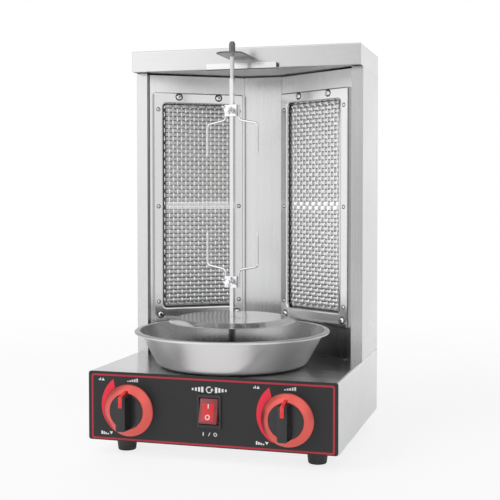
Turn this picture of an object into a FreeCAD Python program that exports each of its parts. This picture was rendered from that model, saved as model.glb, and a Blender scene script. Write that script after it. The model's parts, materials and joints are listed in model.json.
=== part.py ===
"""Table-top vertical rotisserie oven: a gas broiler with two infrared burners behind a turning spit.

Millimetres, +Z up. The origin is the middle of the overall box, on the surface that the feet stand on.
The front looks along -Y, and "left" and "right" are as seen from the front.
"""

import FreeCAD, Part
import Sketcher
import math
import os
import re

from FreeCAD import Placement, Rotation, Vector

SIZES = {
    # sheet-metal base
    "base_width": 310,
    "base_depth": 276.4,
    "base_floor_level": 20,
    "deck_level": 104,
    "front_face": -126.7,
    "steel": 1.2,
    "fascia_thick": 1.5,
    "base_corner": 3,
    "vent_length": 34,
    "vent_width": 3,
    "vent_pitch": 8,
    # feet
    "foot_spread_x": 122,
    "foot_inset_y": 41,
    "foot_top_r": 13.5,
    "foot_tip_r": 11,
    "foot_recess_r": 5,
    "foot_recess_deep": 9,
    # tower and cap
    "tower_front": 156.5,
    "tower_flange": 15,
    "tower_hem": 7.5,
    "thin_steel": 1,
    "cap_bottom": 483,
    "cap_high": 27,
    "cap_overhang": 17.5,
    "wall_top": 481.8,
    # walls that hold the burners, and the reflector between them
    "wall_long": 135,
    "wall_turn": 33.22,
    "wall_mid_x": 83.5,
    "wall_mid_y": 203,
    "wall_foot_flange": 7,
    "reflector_half": 26.8,
    "reflector_y": 240,
    "reflector_return": 12,
    # burners
    "frame_wide": 127,
    "frame_low": 145,
    "frame_high": 458,
    "frame_deep": 6,
    "frame_corner": 3,
    "window_wide": 103,
    "window_low": 163,
    "window_high": 445,
    "window_corner": 7,
    "window_lip": 8.5,
    "mesh_thick": 3,
    "plaque_thick": 12,
    "plaque_seam": 9,
    "burner_box_wide": 112,
    "burner_box_deep": 29,
    "burner_box_low": 152,
    "burner_box_high": 451,
    "mixing_r": 9.5,
    "mixing_bore": 8.5,
    "mixing_back": 15,
    # spit and drive
    "spit_back": 93,
    "spit_turn": -12,
    "bar_wide": 5,
    "bar_low": 135.3,
    "bar_high": 464.8,
    "journal_r": 2.8,
    "journal_high": 496.6,
    "thread_r": 2,
    "thread_high": 506,
    "shaft_r": 5,
    "shaft_low": 80,
    "shaft_high": 155,
    "socket_wide": 5.16,
    "socket_deep": 20,
    "run_gap": 0.08,
    # plate that carries the meat
    "disc_r": 80.5,
    "disc_flat_r": 68,
    "disc_top": 164.4,
    "disc_rim": 159,
    "disc_thick": 0.9,
    "disc_hub_r": 9,
    "disc_hub_low": 155.4,
    # forks
    "hub_wide": 17,
    "hub_deep": 9.5,
    "hub_tall": 14.4,
    "prong_r": 1.5,
    "prong_reach": 36,
    "prong_rise": 8,
    "prong_drop": 43.5,
    "upper_prong_rise": 4.5,
    "upper_prong_drop": 40,
    "prong_bend": 5,
    "prong_point": 5,
    "upper_hub": 424.4,
    "lower_hub": 209,
    "wing_screw_r": 1.9,
    # top bracket
    "arm_half": 16.5,
    "arm_front": 72,
    "arm_level": 494,
    "arm_thick": 2,
    "arm_chamfer": 8,
    "arm_inside": 12,
    "rail_half": 47,
    "rail_front": 131,
    "rail_low": 480.5,
    "rail_high": 489,
    # drip pan
    "pan_rim_r": 123.5,
    "pan_mouth_r": 117,
    "pan_floor_r": 92,
    "pan_high": 44.9,
    "pan_gap": 0.3,
    "pan_sheet": 0.9,
    "pan_collar_r": 14,
    "pan_collar_high": 22,
    "pan_fillet": 9,
    # controls
    "knob_x": 98,
    "knob_z": 60.5,
    "stem_r": 3,
    "ring_outer_r": 31.5,
    "ring_inner_r": 21.7,
    "ring_edge": 11,
    "ring_front": 19,
    "ring_sheet": 1.4,
    "knob_back": 5,
    "knob_core_r": 21,
    "grip_wide": 14,
    "grip_half": 20.5,
    "grip_front": 37,
    "pointer_wide": 4.5,
    "switch_z": 63,
    "bezel_wide": 30,
    "bezel_high": 40,
    "bezel_proud": 2,
    "rocker_wide": 23.6,
    "rocker_r": 15.7,
    "pivot_r": 1.2,
    "pivot_proud": 0.9,
    "switch_deep": 22,
    # gas and electric parts under the deck
    "valve_wide": 24,
    "valve_deep": 32,
    "pipe_r": 4,
    "manifold_z": 34,
    "manifold_y": 24,
    "inlet_x": 84,
    "inlet_z": 50,
    "inlet_r": 8.33,
    "inlet_shank_r": 7.4,
    "inlet_proud": 14,
    "gland_x": -98,
    "gland_z": 50,
    "gland_r": 8,
    "gland_bore": 3.5,
    "gland_proud": 10,
    "gearbox_x": 64,
    "gearbox_y": 52,
    "gearbox_low": 74,
    "gearbox_high": 96,
    "motor_r": 25,
    "motor_low": 48,
    "screw_r": 2,
    "screw_head_r": 4,
    "screw_head": 2.4,
}

doc = FreeCAD.newDocument("rotisserie_oven")
sheet = doc.addObject("Spreadsheet::Sheet", "Sizes")
nodes = []


def fill_sheet():
    """One row for each driving dimension: its name, and its value under that alias."""
    for row, (name, number) in enumerate(SIZES.items(), start=1):
        sheet.set(f"A{row}", name)
        sheet.set(f"B{row}", str(number))
        sheet.setAlias(f"B{row}", name)
    doc.recompute()


# ---------------------------------------------------------------- binding sizes to the sheet

def sized(formula):
    """The formula with each size name turned into a reference to its cell."""
    return re.sub(r"[a-z][a-z_0-9]*", lambda m: f"Sizes.{m[0]}" if m[0] in SIZES else m[0], str(formula))


def value(formula):
    """What the formula comes to now, in millimetres or degrees."""
    return float(sheet.evalExpression(sized(formula)))


def bind(thing, prop, formula):
    thing.setExpression(prop, sized(formula))


def place(thing, x="0", y="0", z="0", turn=None, axis=(0, 0, 1)):
    """Put a finished piece at x, y, z, turned about an axis through its own origin."""
    angle = 0 if turn is None else value(turn)
    thing.Placement = Placement(Vector(value(x), value(y), value(z)), Rotation(Vector(*axis), angle))
    for letter, formula in zip("xyz", (x, y, z)):
        bind(thing, f"Placement.Base.{letter}", formula)
    if turn is not None:
        bind(thing, "Placement.Rotation.Angle", turn)
    return thing


def node(label, thing):
    """Record a finished sub-part under the name of its file."""
    thing.Label = label
    nodes.append(thing)
    return thing


# ---------------------------------------------------------------- primitives and booleans

def box(x, y, z):
    """A block between the two formulas given for each axis."""
    block = doc.addObject("Part::Box", "block")
    for prop, (low, high) in zip(("Length", "Width", "Height"), (x, y, z)):
        bind(block, prop, f"({high}) - ({low})")
    return place(block, x[0], y[0], z[0])


AXIS_TURNS = {"z": ((0, 0, 1), "0"), "y": ((1, 0, 0), "-90"), "x": ((0, 1, 0), "90")}


def rod(radius, long, x="0", y="0", z="0", along="z"):
    """A cylinder that starts at x, y, z and runs the given length along an axis."""
    bar = doc.addObject("Part::Cylinder", "rod")
    bind(bar, "Radius", radius)
    bind(bar, "Height", long)
    axis, turn = AXIS_TURNS[along]
    return place(bar, x, y, z, turn, axis)


def cone(low_r, high_r, long, x="0", y="0", z="0", along="z"):
    """A cone frustum that starts at x, y, z with its first radius there."""
    taper = doc.addObject("Part::Cone", "cone")
    bind(taper, "Radius1", low_r)
    bind(taper, "Radius2", high_r)
    bind(taper, "Height", long)
    axis, turn = AXIS_TURNS[along]
    return place(taper, x, y, z, turn, axis)


def fuse(*parts):
    joined = doc.addObject("Part::MultiFuse", "fused")
    joined.Shapes = list(parts)
    return joined


def cut(base, *tools):
    result = doc.addObject("Part::Cut", "cut")
    result.Base = base
    result.Tool = tools[0] if len(tools) == 1 else fuse(*tools)
    return result


def group(parts):
    """Separate solids that share one node, such as a set of screws."""
    several = doc.addObject("Part::Compound", "group")
    several.Links = list(parts)
    return several


# ---------------------------------------------------------------- sketched bodies

def new_body(name):
    return doc.addObject("PartDesign::Body", name)


def new_sketch(body, plane, offset="0"):
    """A sketch on one of the body's own origin planes, moved along the plane's normal."""
    drawing = body.newObject("Sketcher::SketchObject", "outline")
    origin_plane = next(f for f in body.Origin.OriginFeatures if f.Role == plane)
    drawing.AttachmentSupport = (origin_plane, "")
    drawing.MapMode = "FlatFace"
    bind(drawing, "AttachmentOffset.Base.z", offset)
    return drawing


def pin_point(drawing, element, end, x, y):
    """Hold one point of a sketch element at two bound distances from the sketch origin."""
    for kind, formula in (("DistanceX", x), ("DistanceY", y)):
        index = drawing.addConstraint(Sketcher.Constraint(kind, -1, 1, element, end, value(formula)))
        bind(drawing, f"Constraints[{index}]", formula)


def draw_polygon(drawing, corners):
    """A closed outline through corners given as pairs of formulas."""
    spots = [Vector(value(x), value(y), 0) for x, y in corners]
    first = drawing.GeometryCount
    count = len(corners)
    for i in range(count):
        drawing.addGeometry(Part.LineSegment(spots[i], spots[(i + 1) % count]))
    for i in range(count):
        following = first + (i + 1) % count
        drawing.addConstraint(Sketcher.Constraint("Coincident", first + i, 2, following, 1))
        pin_point(drawing, first + i, 1, *corners[i])


def draw_rectangle(drawing, x, y):
    draw_polygon(drawing, [(x[0], y[0]), (x[1], y[0]), (x[1], y[1]), (x[0], y[1])])


def draw_circle(drawing, x, y, radius):
    spot = Vector(value(x), value(y), 0)
    index = drawing.addGeometry(Part.Circle(spot, Vector(0, 0, 1), value(radius)))
    pin_point(drawing, index, 3, x, y)
    number = drawing.addConstraint(Sketcher.Constraint("Radius", index, value(radius)))
    bind(drawing, f"Constraints[{number}]", radius)


def pad(body, drawing, long, reverse=False):
    feature = body.newObject("PartDesign::Pad", "pad")
    feature.Profile = drawing
    feature.Reversed = reverse
    bind(feature, "Length", long)
    doc.recompute()
    return feature


def pocket_through(body, drawing):
    """Cut the outline right through the body, both ways from its sketch."""
    before = body.Shape.Volume
    feature = body.newObject("PartDesign::Pocket", "pocket")
    feature.Profile = drawing
    feature.Type = "ThroughAll"
    feature.SideType = "Symmetric"
    doc.recompute()
    if body.Shape.Volume >= before:
        raise RuntimeError(f"{body.Name}: a pocket removed nothing")
    return feature


def revolve(body, drawing):
    feature = body.newObject("PartDesign::Revolution", "revolution")
    feature.Profile = drawing
    feature.ReferenceAxis = (drawing, ["V_Axis"])
    feature.Angle = 360
    doc.recompute()
    return feature


def round_edges(body, radius, wanted):
    """Fillet every edge of the body's last feature that the test wanted accepts."""
    last = body.Tip
    names = [f"Edge{i}" for i, edge in enumerate(last.Shape.Edges, start=1) if wanted(edge)]
    if not names:
        raise RuntimeError(f"{body.Name}: no edge to round")
    feature = body.newObject("PartDesign::Fillet", "fillet")
    feature.Base = (last, names)
    bind(feature, "Radius", radius)
    doc.recompute()
    return feature


def runs_along(edge, letter):
    """True for a straight edge parallel to that axis."""
    if not isinstance(edge.Curve, Part.Line):
        return False
    ends = [v.Point for v in edge.Vertexes]
    return all(abs(getattr(ends[0], o) - getattr(ends[1], o)) < 1e-6 for o in "xyz" if o != letter)


def is_ring(edge, radius, level):
    """True for a circular edge of that radius at that height."""
    return (
        isinstance(edge.Curve, Part.Circle)
        and abs(edge.Curve.Radius - value(radius)) < 0.01
        and abs(edge.Curve.Center.z - value(level)) < 0.01
    )


def plate(name, plane, x, y, thick, holes=(), offset="0", reverse=False):
    """A flat sheet between the x and y formulas of its plane, with round and rectangular holes.

    A hole is (x, y, radius), or ((low x, high x), (low y, high y)).
    """
    body = new_body(name)
    drawing = new_sketch(body, plane, offset)
    draw_rectangle(drawing, x, y)
    for hole in holes:
        if len(hole) == 3:
            draw_circle(drawing, *hole)
        else:
            draw_rectangle(drawing, *hole)
    pad(body, drawing, thick, reverse)
    return body


def turned(name, profile):
    """A body of revolution about its own Z axis, from (radius, height) corners."""
    body = new_body(name)
    drawing = new_sketch(body, "XZ_Plane")
    draw_polygon(drawing, profile)
    revolve(body, drawing)
    return body


def bent_bar(points, radius, bend):
    """A round wire or pipe along straight runs joined by tangent arcs of one bend radius."""
    edges = []
    start = points[0]
    for before, corner, after in zip(points, points[1:], points[2:]):
        into = (corner - before).normalize()
        out = (after - corner).normalize()
        turn = into.getAngle(out)
        reach = bend * math.tan(turn / 2)
        enter = corner - into * reach
        leave = corner + out * reach
        middle = corner + (out - into).normalize() * (bend / math.cos(turn / 2) - bend)
        edges.append(Part.LineSegment(start, enter).toShape())
        edges.append(Part.Arc(enter, middle, leave).toShape())
        start = leave
    edges.append(Part.LineSegment(start, points[-1]).toShape())
    path = Part.Wire(edges)
    circle = Part.Circle(points[0], points[1] - points[0], radius)
    return path.makePipeShell([Part.Wire([circle.toShape()])], True, False)


# ---------------------------------------------------------------- base

SIDES = {"left": -1, "right": 1}


def make_base_shell():
    """Deck and both sides of the base: one sheet folded down at its two long edges."""
    body = new_body("base_shell")
    drawing = new_sketch(body, "XZ_Plane")
    half, low, top = "base_width / 2", "base_floor_level", "deck_level"
    draw_polygon(drawing, [
        (f"-{half}", low),
        (f"-{half} + steel", low),
        (f"-{half} + steel", f"{top} - steel"),
        (f"{half} - steel", f"{top} - steel"),
        (f"{half} - steel", low),
        (half, low),
        (half, top),
        (f"-{half}", top),
    ])
    pad(body, drawing, "base_depth - fascia_thick - steel", reverse=True)
    round_edges(body, "base_corner", lambda e: runs_along(e, "y") and is_outer_top(e))
    holes = new_sketch(body, "XY_Plane", "deck_level")
    draw_circle(holes, "0", "spit_back - fascia_thick", "disc_hub_r")
    for sign in SIDES.values():
        x, y = mixing_spot(sign)
        draw_circle(holes, x, f"{y} - fascia_thick", "mixing_r + 2")
    pocket_through_deck(body, holes)
    place(body, "0", "front_face + fascia_thick", "0")
    return node("base_shell", body)


def is_outer_top(edge):
    spot = edge.Vertexes[0].Point
    return abs(abs(spot.x) - value("base_width / 2")) < 0.01 and abs(spot.z - value("deck_level")) < 0.01


def pocket_through_deck(body, drawing):
    """Cut holes in the deck only, a little deeper than its sheet."""
    before = body.Shape.Volume
    feature = body.newObject("PartDesign::Pocket", "pocket")
    feature.Profile = drawing
    bind(feature, "Length", "steel * 2")
    doc.recompute()
    if body.Shape.Volume >= before:
        raise RuntimeError("the deck holes removed nothing")


def mixing_spot(sign):
    """Plan position of a burner's mixing tube, measured back from the base's front face."""
    across = "wall_mid_x + mixing_back * sin(wall_turn)"
    back = "wall_mid_y + mixing_back * cos(wall_turn)"
    return f"{sign} * ({across})", back


def vent_slots(count, middle, low, pitch="vent_pitch"):
    """A stack of equal slots, one above another."""
    return [
        ((f"{middle} - vent_length / 2", f"{middle} + vent_length / 2"),
         (f"{low} + {i} * {pitch}", f"{low} + {i} * {pitch} + vent_width"))
        for i in range(count)
    ]


def make_base_panels():
    half = "base_width / 2"
    inner = f"({half} - steel)"
    floor_slots = []
    for sign in SIDES.values():
        floor_slots += vent_slots(7, f"{sign} * vent_length * 0.8", "base_depth / 2 + 30")
    floor_plate = plate("base_floor", "XY_Plane", (f"-{inner}", inner),
                        ("fascia_thick", "base_depth - steel"), "steel", floor_slots)
    place(floor_plate, "0", "front_face", "base_floor_level")
    node("base_floor", floor_plate)

    back_holes = [
        ("inlet_x", "inlet_z", "inlet_shank_r + 0.2"),
        ("gland_x", "gland_z", "gland_r - 2"),
    ] + vent_slots(5, "0", "inlet_z - 8")
    back_holes += [(x, z, "screw_r + 0.1") for x, z in base_cover_screws()]
    back_plate = plate("base_back_panel", "XZ_Plane", (f"-{half}", half),
                       ("base_floor_level", "deck_level"), "steel", back_holes)
    place(back_plate, "0", "front_face + base_depth", "0")
    node("base_back_panel", back_plate)


def make_fascia():
    """Control panel over the whole front of the base, with two knob holes and the switch cut-out."""
    body = new_body("fascia")
    drawing = new_sketch(body, "XZ_Plane")
    half = "base_width / 2"
    draw_rectangle(drawing, (f"-{half}", half), ("base_floor_level", "deck_level"))
    for sign in SIDES.values():
        draw_circle(drawing, f"{sign} * knob_x", "knob_z", "stem_r + 2")
    draw_rectangle(drawing, ("-bezel_wide / 2 + 2", "bezel_wide / 2 - 2"),
                   ("switch_z - bezel_high / 2 + 2", "switch_z + bezel_high / 2 - 2"))
    pad(body, drawing, "fascia_thick")
    round_edges(body, "base_corner", lambda e: runs_along(e, "y")
                and abs(abs(e.Vertexes[0].Point.x) - value(half)) < 0.01)
    place(body, "0", "front_face + fascia_thick", "0")
    node("fascia", body)


def foot_places():
    for sign in SIDES.values():
        for back in ("foot_inset_y", "base_depth - foot_inset_y"):
            yield f"{sign} * foot_spread_x", f"front_face + {back}"


def make_feet():
    feet = []
    for x, y in foot_places():
        solid = cone("foot_tip_r", "foot_top_r", "base_floor_level", x, y)
        recess = rod("foot_recess_r", "foot_recess_deep", x, y)
        bore = rod("screw_r", "base_floor_level", x, y)
        feet.append(cut(solid, recess, bore))
    node("rubber_feet", group(feet))


def base_cover_screws():
    """Places of the screws round the base's rear panel, as x and z."""
    return [(f"{sign} * (base_width / 2 - 12)", z) for sign in SIDES.values()
            for z in ("base_floor_level + 12", "deck_level - 14")]


def tower_cover_screws():
    """Places of the screws down the tower's rear flanges, as x and z."""
    return [(f"{sign} * (base_width / 2 - 7)", z) for sign in SIDES.values()
            for z in ("deck_level + 30", "(deck_level + cap_bottom) / 2", "cap_bottom - 30")]


def screw(x, y, z, along, long):
    """Pan-head screw: its head starts at x, y, z and its shank runs on along the axis (signed)."""
    if along[0] == "-":
        axis = along[1]
        head = {"x": x, "y": y, "z": z}
        shank = dict(head)
        head[axis] = f"{head[axis]} - screw_head"
        shank[axis] = f"{shank[axis]} - screw_head - {long}"
        return fuse(
            rod("screw_head_r", "screw_head", head["x"], head["y"], head["z"], axis),
            rod("screw_r", long, shank["x"], shank["y"], shank["z"], axis),
        )
    after = {"x": x, "y": y, "z": z}
    after[along] = f"{after[along]} + screw_head"
    return fuse(
        cone("screw_head_r * 0.6", "screw_head_r", "screw_head", x, y, z, along),
        rod("screw_r", long, after["x"], after["y"], after["z"], along),
    )


def make_panel_screws():
    """M4 screws that hold the feet, the rear covers and the top bracket."""
    screws = []
    grip = "base_floor_level - foot_recess_deep"
    for x, y in foot_places():
        screws.append(screw(x, y, "foot_recess_deep - screw_head", "z", grip))
    rear = "front_face + base_depth + screw_head"
    for x, z in base_cover_screws():
        screws.append(screw(x, rear, z, "-y", "steel * 3"))
    for x, z in tower_cover_screws():
        screws.append(screw(x, rear, z, "-y", "thin_steel * 4"))
    node("panel_screws", group(screws))


# ---------------------------------------------------------------- tower and cap

def make_tower_side(side, sign):
    """Side of the tower: a folded sheet with a front flange and hem, and a flange at the back."""
    body = new_body(f"side_fold_{side}")
    drawing = new_sketch(body, "XY_Plane")
    outer, front, back = "base_width / 2", "tower_front", "base_depth"
    inner_face = "base_width / 2 - tower_flange"
    outline = [
        (inner_face, front),
        (outer, front),
        (outer, back),
        (f"{outer} - 12", back),
        (f"{outer} - 12", f"{back} - thin_steel"),
        (f"{outer} - thin_steel", f"{back} - thin_steel"),
        (f"{outer} - thin_steel", f"{front} + thin_steel"),
        (f"{inner_face} + thin_steel", f"{front} + thin_steel"),
        (f"{inner_face} + thin_steel", f"{front} + tower_hem"),
        (inner_face, f"{front} + tower_hem"),
    ]
    draw_polygon(drawing, [(f"{sign} * ({x})", y) for x, y in outline])
    pad(body, drawing, "cap_bottom - deck_level")
    holes = [rod("screw_r + 0.1", "thin_steel + 2", x, f"{back} - thin_steel - 1", f"{z} - deck_level", "y")
             for x, z in tower_cover_screws()]
    folded = cut(body, *holes)
    place(folded, "0", "front_face", "deck_level")
    node(f"tower_side_{side}", folded)


def make_tower_back():
    slots = []
    for sign in SIDES.values():
        slots += vent_slots(12, f"{sign} * 60", "deck_level + 220", "vent_pitch * 1.5")
    holes = [(x, z, "screw_r + 0.1") for x, z in tower_cover_screws()]
    cover = plate("tower_back_cover", "XZ_Plane", ("-base_width / 2 + 3", "base_width / 2 - 3"),
                  ("deck_level", "wall_top"), "thin_steel", slots + holes)
    place(cover, "0", "front_face + base_depth - thin_steel", "0")
    node("tower_back_cover", cover)


def make_inner_wall(side, sign):
    """Angled wall behind the meat, cut out for its burner, with a small flange on the deck."""
    half = "wall_long / 2"
    sheet_plate = plate(f"wall_sheet_{side}", "XZ_Plane", (f"-{half}", half), ("deck_level", "wall_top"),
                        "thin_steel",
                        [(("-burner_box_wide / 2 - 1", "burner_box_wide / 2 + 1"),
                          ("burner_box_low - 1", "burner_box_high + 1"))], reverse=True)
    flange = box((f"-{half} + 9", f"{half} - 9"), ("-wall_foot_flange", "0"),
                 ("deck_level", "deck_level + thin_steel"))
    wall = fuse(sheet_plate, flange)
    put_on_wall(wall, sign)
    node(f"inner_wall_{side}", wall)


def put_on_wall(thing, sign):
    """Stand a piece made about the wall's own centre line on that wall. Its +Y runs behind the wall."""
    place(thing, f"{sign} * wall_mid_x", "front_face + wall_mid_y", "0", f"{-sign} * wall_turn")


def make_back_reflector():
    body = new_body("back_reflector")
    drawing = new_sketch(body, "XY_Plane")
    half, front, back = "reflector_half", "reflector_y", "reflector_y + reflector_return"
    draw_polygon(drawing, [
        (f"-{half}", front),
        (half, front),
        (half, back),
        (f"{half} - thin_steel", back),
        (f"{half} - thin_steel", f"{front} + thin_steel"),
        (f"-{half} + thin_steel", f"{front} + thin_steel"),
        (f"-{half} + thin_steel", back),
        (f"-{half}", back),
    ])
    pad(body, drawing, "wall_top - deck_level")
    place(body, "0", "front_face", "deck_level")
    node("back_reflector", body)


def make_cap():
    """Lid of the tower: a shallow folded tray, open below, slotted at the front for the bracket arm."""
    half = "base_width / 2"
    front, back = "tower_front - cap_overhang", "base_depth"
    body = new_body("cap_tray")
    drawing = new_sketch(body, "XY_Plane")
    draw_rectangle(drawing, (f"-{half}", half), (front, back))
    pad(body, drawing, "cap_high")
    round_edges(body, "steel * 1.3",
                lambda e: runs_along(e, "z") or e.BoundBox.ZMin > value("cap_high") - 0.01)
    inside = new_sketch(body, "XY_Plane")
    draw_rectangle(inside, (f"-{half} + steel", f"{half} - steel"), (f"{front} + steel", f"{back} - steel"))
    hollow = body.newObject("PartDesign::Pocket", "hollow")
    hollow.Profile = inside
    hollow.Reversed = True
    bind(hollow, "Length", "cap_high - steel")
    doc.recompute()
    slot = box(("-arm_half", "arm_half"), (f"{front} - 2", f"{front} + steel + 2"),
               ("arm_level - cap_bottom", "arm_level - cap_bottom + arm_thick"))
    cap = cut(body, slot)
    place(cap, "0", "front_face", "cap_bottom")
    node("top_cap", cap)

    edge = f"({half} - steel)"
    liner = plate("cap_liner", "XY_Plane", (f"-{edge}", edge), (f"{front} + steel", f"{back} - steel"),
                  "thin_steel")
    place(liner, "0", "front_face", "cap_bottom + 0.6")
    node("cap_liner", liner)


def make_bracket():
    """Arm welded through the front of the cap, which steadies the spit, and the rail below it."""
    body = new_body("spit_bracket")
    drawing = new_sketch(body, "XY_Plane")
    inside = "tower_front - cap_overhang + arm_inside"
    draw_polygon(drawing, [
        ("-arm_half + arm_chamfer", "arm_front"),
        ("arm_half - arm_chamfer", "arm_front"),
        ("arm_half", "arm_front + arm_chamfer"),
        ("arm_half", inside),
        ("-arm_half", inside),
        ("-arm_half", "arm_front + arm_chamfer"),
    ])
    draw_circle(drawing, "0", "spit_back", "journal_r + run_gap")
    pad(body, drawing, "arm_thick")
    place(body, "0", "front_face", "arm_level")
    node("spit_bracket", body)

    rail = new_body("bracket_rail")
    section = new_sketch(rail, "YZ_Plane", "-rail_half")
    cap_face = "tower_front - cap_overhang"
    draw_polygon(section, [
        ("rail_front", "rail_low"),
        (f"{cap_face} + 6", "rail_low"),
        (f"{cap_face} + 6", "rail_low + thin_steel"),
        ("rail_front + thin_steel", "rail_low + thin_steel"),
        ("rail_front + thin_steel", "rail_high - thin_steel"),
        (cap_face, "rail_high - thin_steel"),
        (cap_face, "rail_high"),
        ("rail_front", "rail_high"),
    ])
    pad(rail, section, "rail_half * 2")
    place(rail, "0", "front_face", "0")
    node("bracket_rail", rail)


# ---------------------------------------------------------------- burners, made about the wall's centre line

def draw_rounded(drawing, half_x, low, high, radius):
    """A rectangle with round corners, centred on the sketch's vertical axis."""
    mid = {"x0": f"-({half_x}) + {radius}", "x1": f"{half_x} - {radius}",
           "y0": f"{low} + {radius}", "y1": f"{high} - {radius}"}
    r = value(radius)
    corners = [("x1", "y0", -90), ("x1", "y1", 0), ("x0", "y1", 90), ("x0", "y0", 180)]
    arcs = []
    for x, y, start in corners:
        centre = Vector(value(mid[x]), value(mid[y]), 0)
        circle = Part.Circle(centre, Vector(0, 0, 1), r)
        arc = Part.ArcOfCircle(circle, math.radians(start), math.radians(start + 90))
        arcs.append(drawing.addGeometry(arc))
        pin_point(drawing, arcs[-1], 3, mid[x], mid[y])
        number = drawing.addConstraint(Sketcher.Constraint("Radius", arcs[-1], r))
        bind(drawing, f"Constraints[{number}]", radius)
    for this, following in zip(arcs, arcs[1:] + arcs[:1]):
        leave = drawing.Geometry[this].EndPoint
        enter = drawing.Geometry[following].StartPoint
        line = drawing.addGeometry(Part.LineSegment(leave, enter))
        drawing.addConstraint(Sketcher.Constraint("Tangent", this, 2, line, 1))
        drawing.addConstraint(Sketcher.Constraint("Tangent", line, 2, following, 1))


def make_burner_frame(side, sign):
    """Pressed frame round the burner's window, with a rim back to the wall and a lip into the window."""
    body = new_body(f"frame_pressing_{side}")
    face = new_sketch(body, "XZ_Plane")
    draw_rounded(face, "frame_wide / 2", "frame_low", "frame_high", "frame_corner")
    pad(body, face, "frame_deep")
    hollow = new_sketch(body, "XZ_Plane")
    draw_rectangle(hollow, ("-frame_wide / 2 + thin_steel", "frame_wide / 2 - thin_steel"),
                   ("frame_low + thin_steel", "frame_high - thin_steel"))
    feature = body.newObject("PartDesign::Pocket", "hollow")
    feature.Profile = hollow
    feature.Reversed = True
    bind(feature, "Length", "frame_deep - thin_steel")
    doc.recompute()
    lip = new_sketch(body, "XZ_Plane", "frame_deep - thin_steel / 2")
    draw_rounded(lip, "window_wide / 2 + thin_steel", "window_low - thin_steel", "window_high + thin_steel",
                 "window_corner + thin_steel")
    pad(body, lip, "window_lip", reverse=True)
    window = new_sketch(body, "XZ_Plane")
    draw_rounded(window, "window_wide / 2", "window_low", "window_high", "window_corner")
    pocket_through(body, window)
    holes = [rod(f"{radius} * 0.5", "thin_steel * 3", x, "-frame_deep - thin_steel", z, "y")
             for x, z, radius in frame_screws()]
    frame = cut(body, *holes)
    put_on_wall(frame, sign)
    node(f"burner_frame_{side}", frame)


def frame_screws():
    """Large screws along the frame's top and bottom, small ones down its two sides: x, z, head radius."""
    middle = "(window_low + window_high) / 2 - 1"
    large = [(x, "frame_high - 5.5") for x in ("-28", "28")]
    large += [(x, "frame_low + 10") for x in ("-54.5", "54.5")]
    small = [(x, z) for x in ("-57", "57") for z in ("window_high - 10", middle, "window_low + 9.5")]
    return [(x, z, "4") for x, z in large] + [(x, z, "2.2") for x, z in small]


def make_burner(side, sign):
    """Mesh, ceramic plaques, box and mixing tube of one burner, from the front to the back."""
    make_burner_frame(side, sign)
    lip_back = "window_lip - frame_deep + thin_steel / 2"
    mesh = fuse(
        box(("-window_wide / 2 + 2.5", "window_wide / 2 - 2.5"),
            (f"{lip_back} - mesh_thick", lip_back), ("window_low + 2.5", "window_high - 2.5")),
        box(("-window_wide / 2 - 3", "window_wide / 2 + 3"), (lip_back, f"{lip_back} + 0.8"),
            ("window_low - 3", "window_high + 3")),
    )
    put_on_wall(mesh, sign)
    node(f"burner_mesh_{side}", mesh)

    front = f"{lip_back} + 3"
    middle = "(window_low + window_high) / 2"
    half = "burner_box_wide / 2 - thin_steel - 0.5"
    plaques = group([
        box((f"-({half})", half), (front, f"{front} + plaque_thick"),
            ("burner_box_low + thin_steel + 0.5", f"{middle} - plaque_seam / 2")),
        box((f"-({half})", half), (front, f"{front} + plaque_thick"),
            (f"{middle} + plaque_seam / 2", "burner_box_high - thin_steel - 0.5")),
    ])
    put_on_wall(plaques, sign)
    node(f"burner_plaques_{side}", plaques)

    wide = "burner_box_wide / 2"
    shell = box((f"-{wide}", wide), (f"{lip_back} + 1", "burner_box_deep"),
                ("burner_box_low", "burner_box_high"))
    space = box((f"-{wide} + thin_steel", f"{wide} - thin_steel"), ("0", "burner_box_deep - thin_steel"),
                ("burner_box_low + thin_steel", "burner_box_high - thin_steel"))
    throat = rod("mixing_bore", "thin_steel * 3", "0", "mixing_back", "burner_box_low - thin_steel")
    tray = cut(shell, space, throat)
    put_on_wall(tray, sign)
    node(f"burner_box_{side}", tray)

    tube_low = "deck_level - 22"
    tube = cut(
        rod("mixing_r", f"burner_box_low - ({tube_low})", "0", "mixing_back", tube_low),
        rod("mixing_bore", f"burner_box_low - ({tube_low}) + 2", "0", "mixing_back", f"{tube_low} - 1"),
        box(("-mixing_r - 2", "mixing_r + 2"), ("mixing_back - 3", "mixing_back + 3"),
            (f"{tube_low} + 4", f"{tube_low} + 12")),
    )
    put_on_wall(tube, sign)
    node(f"mixing_tube_{side}", tube)
    make_burner_screws(side, sign)


def make_burner_screws(side, sign):
    """The domed screws that hold a burner frame to its wall."""
    face = "-frame_deep"
    screws = []
    for x, z, radius in frame_screws():
        head = cone(f"{radius} * 0.62", radius, f"{radius} * 0.5", x, f"{face} - {radius} * 0.5", z, "y")
        shank = rod(f"{radius} * 0.5", "frame_deep - 0.2", x, face, z, "y")
        screws.append(fuse(head, shank))
    screws_node = group(screws)
    put_on_wall(screws_node, sign)
    node(f"burner_screws_{side}", screws_node)


# ---------------------------------------------------------------- spit, forks and pan

def on_spit(thing, z="0"):
    """Stand a piece on the spit's axis, turned to match the square bar."""
    return place(thing, "0", "front_face + spit_back", z, "spit_turn")


def square(wide, low, high):
    return box((f"-({wide}) / 2", f"({wide}) / 2"), (f"-({wide}) / 2", f"({wide}) / 2"), (low, high))


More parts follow.
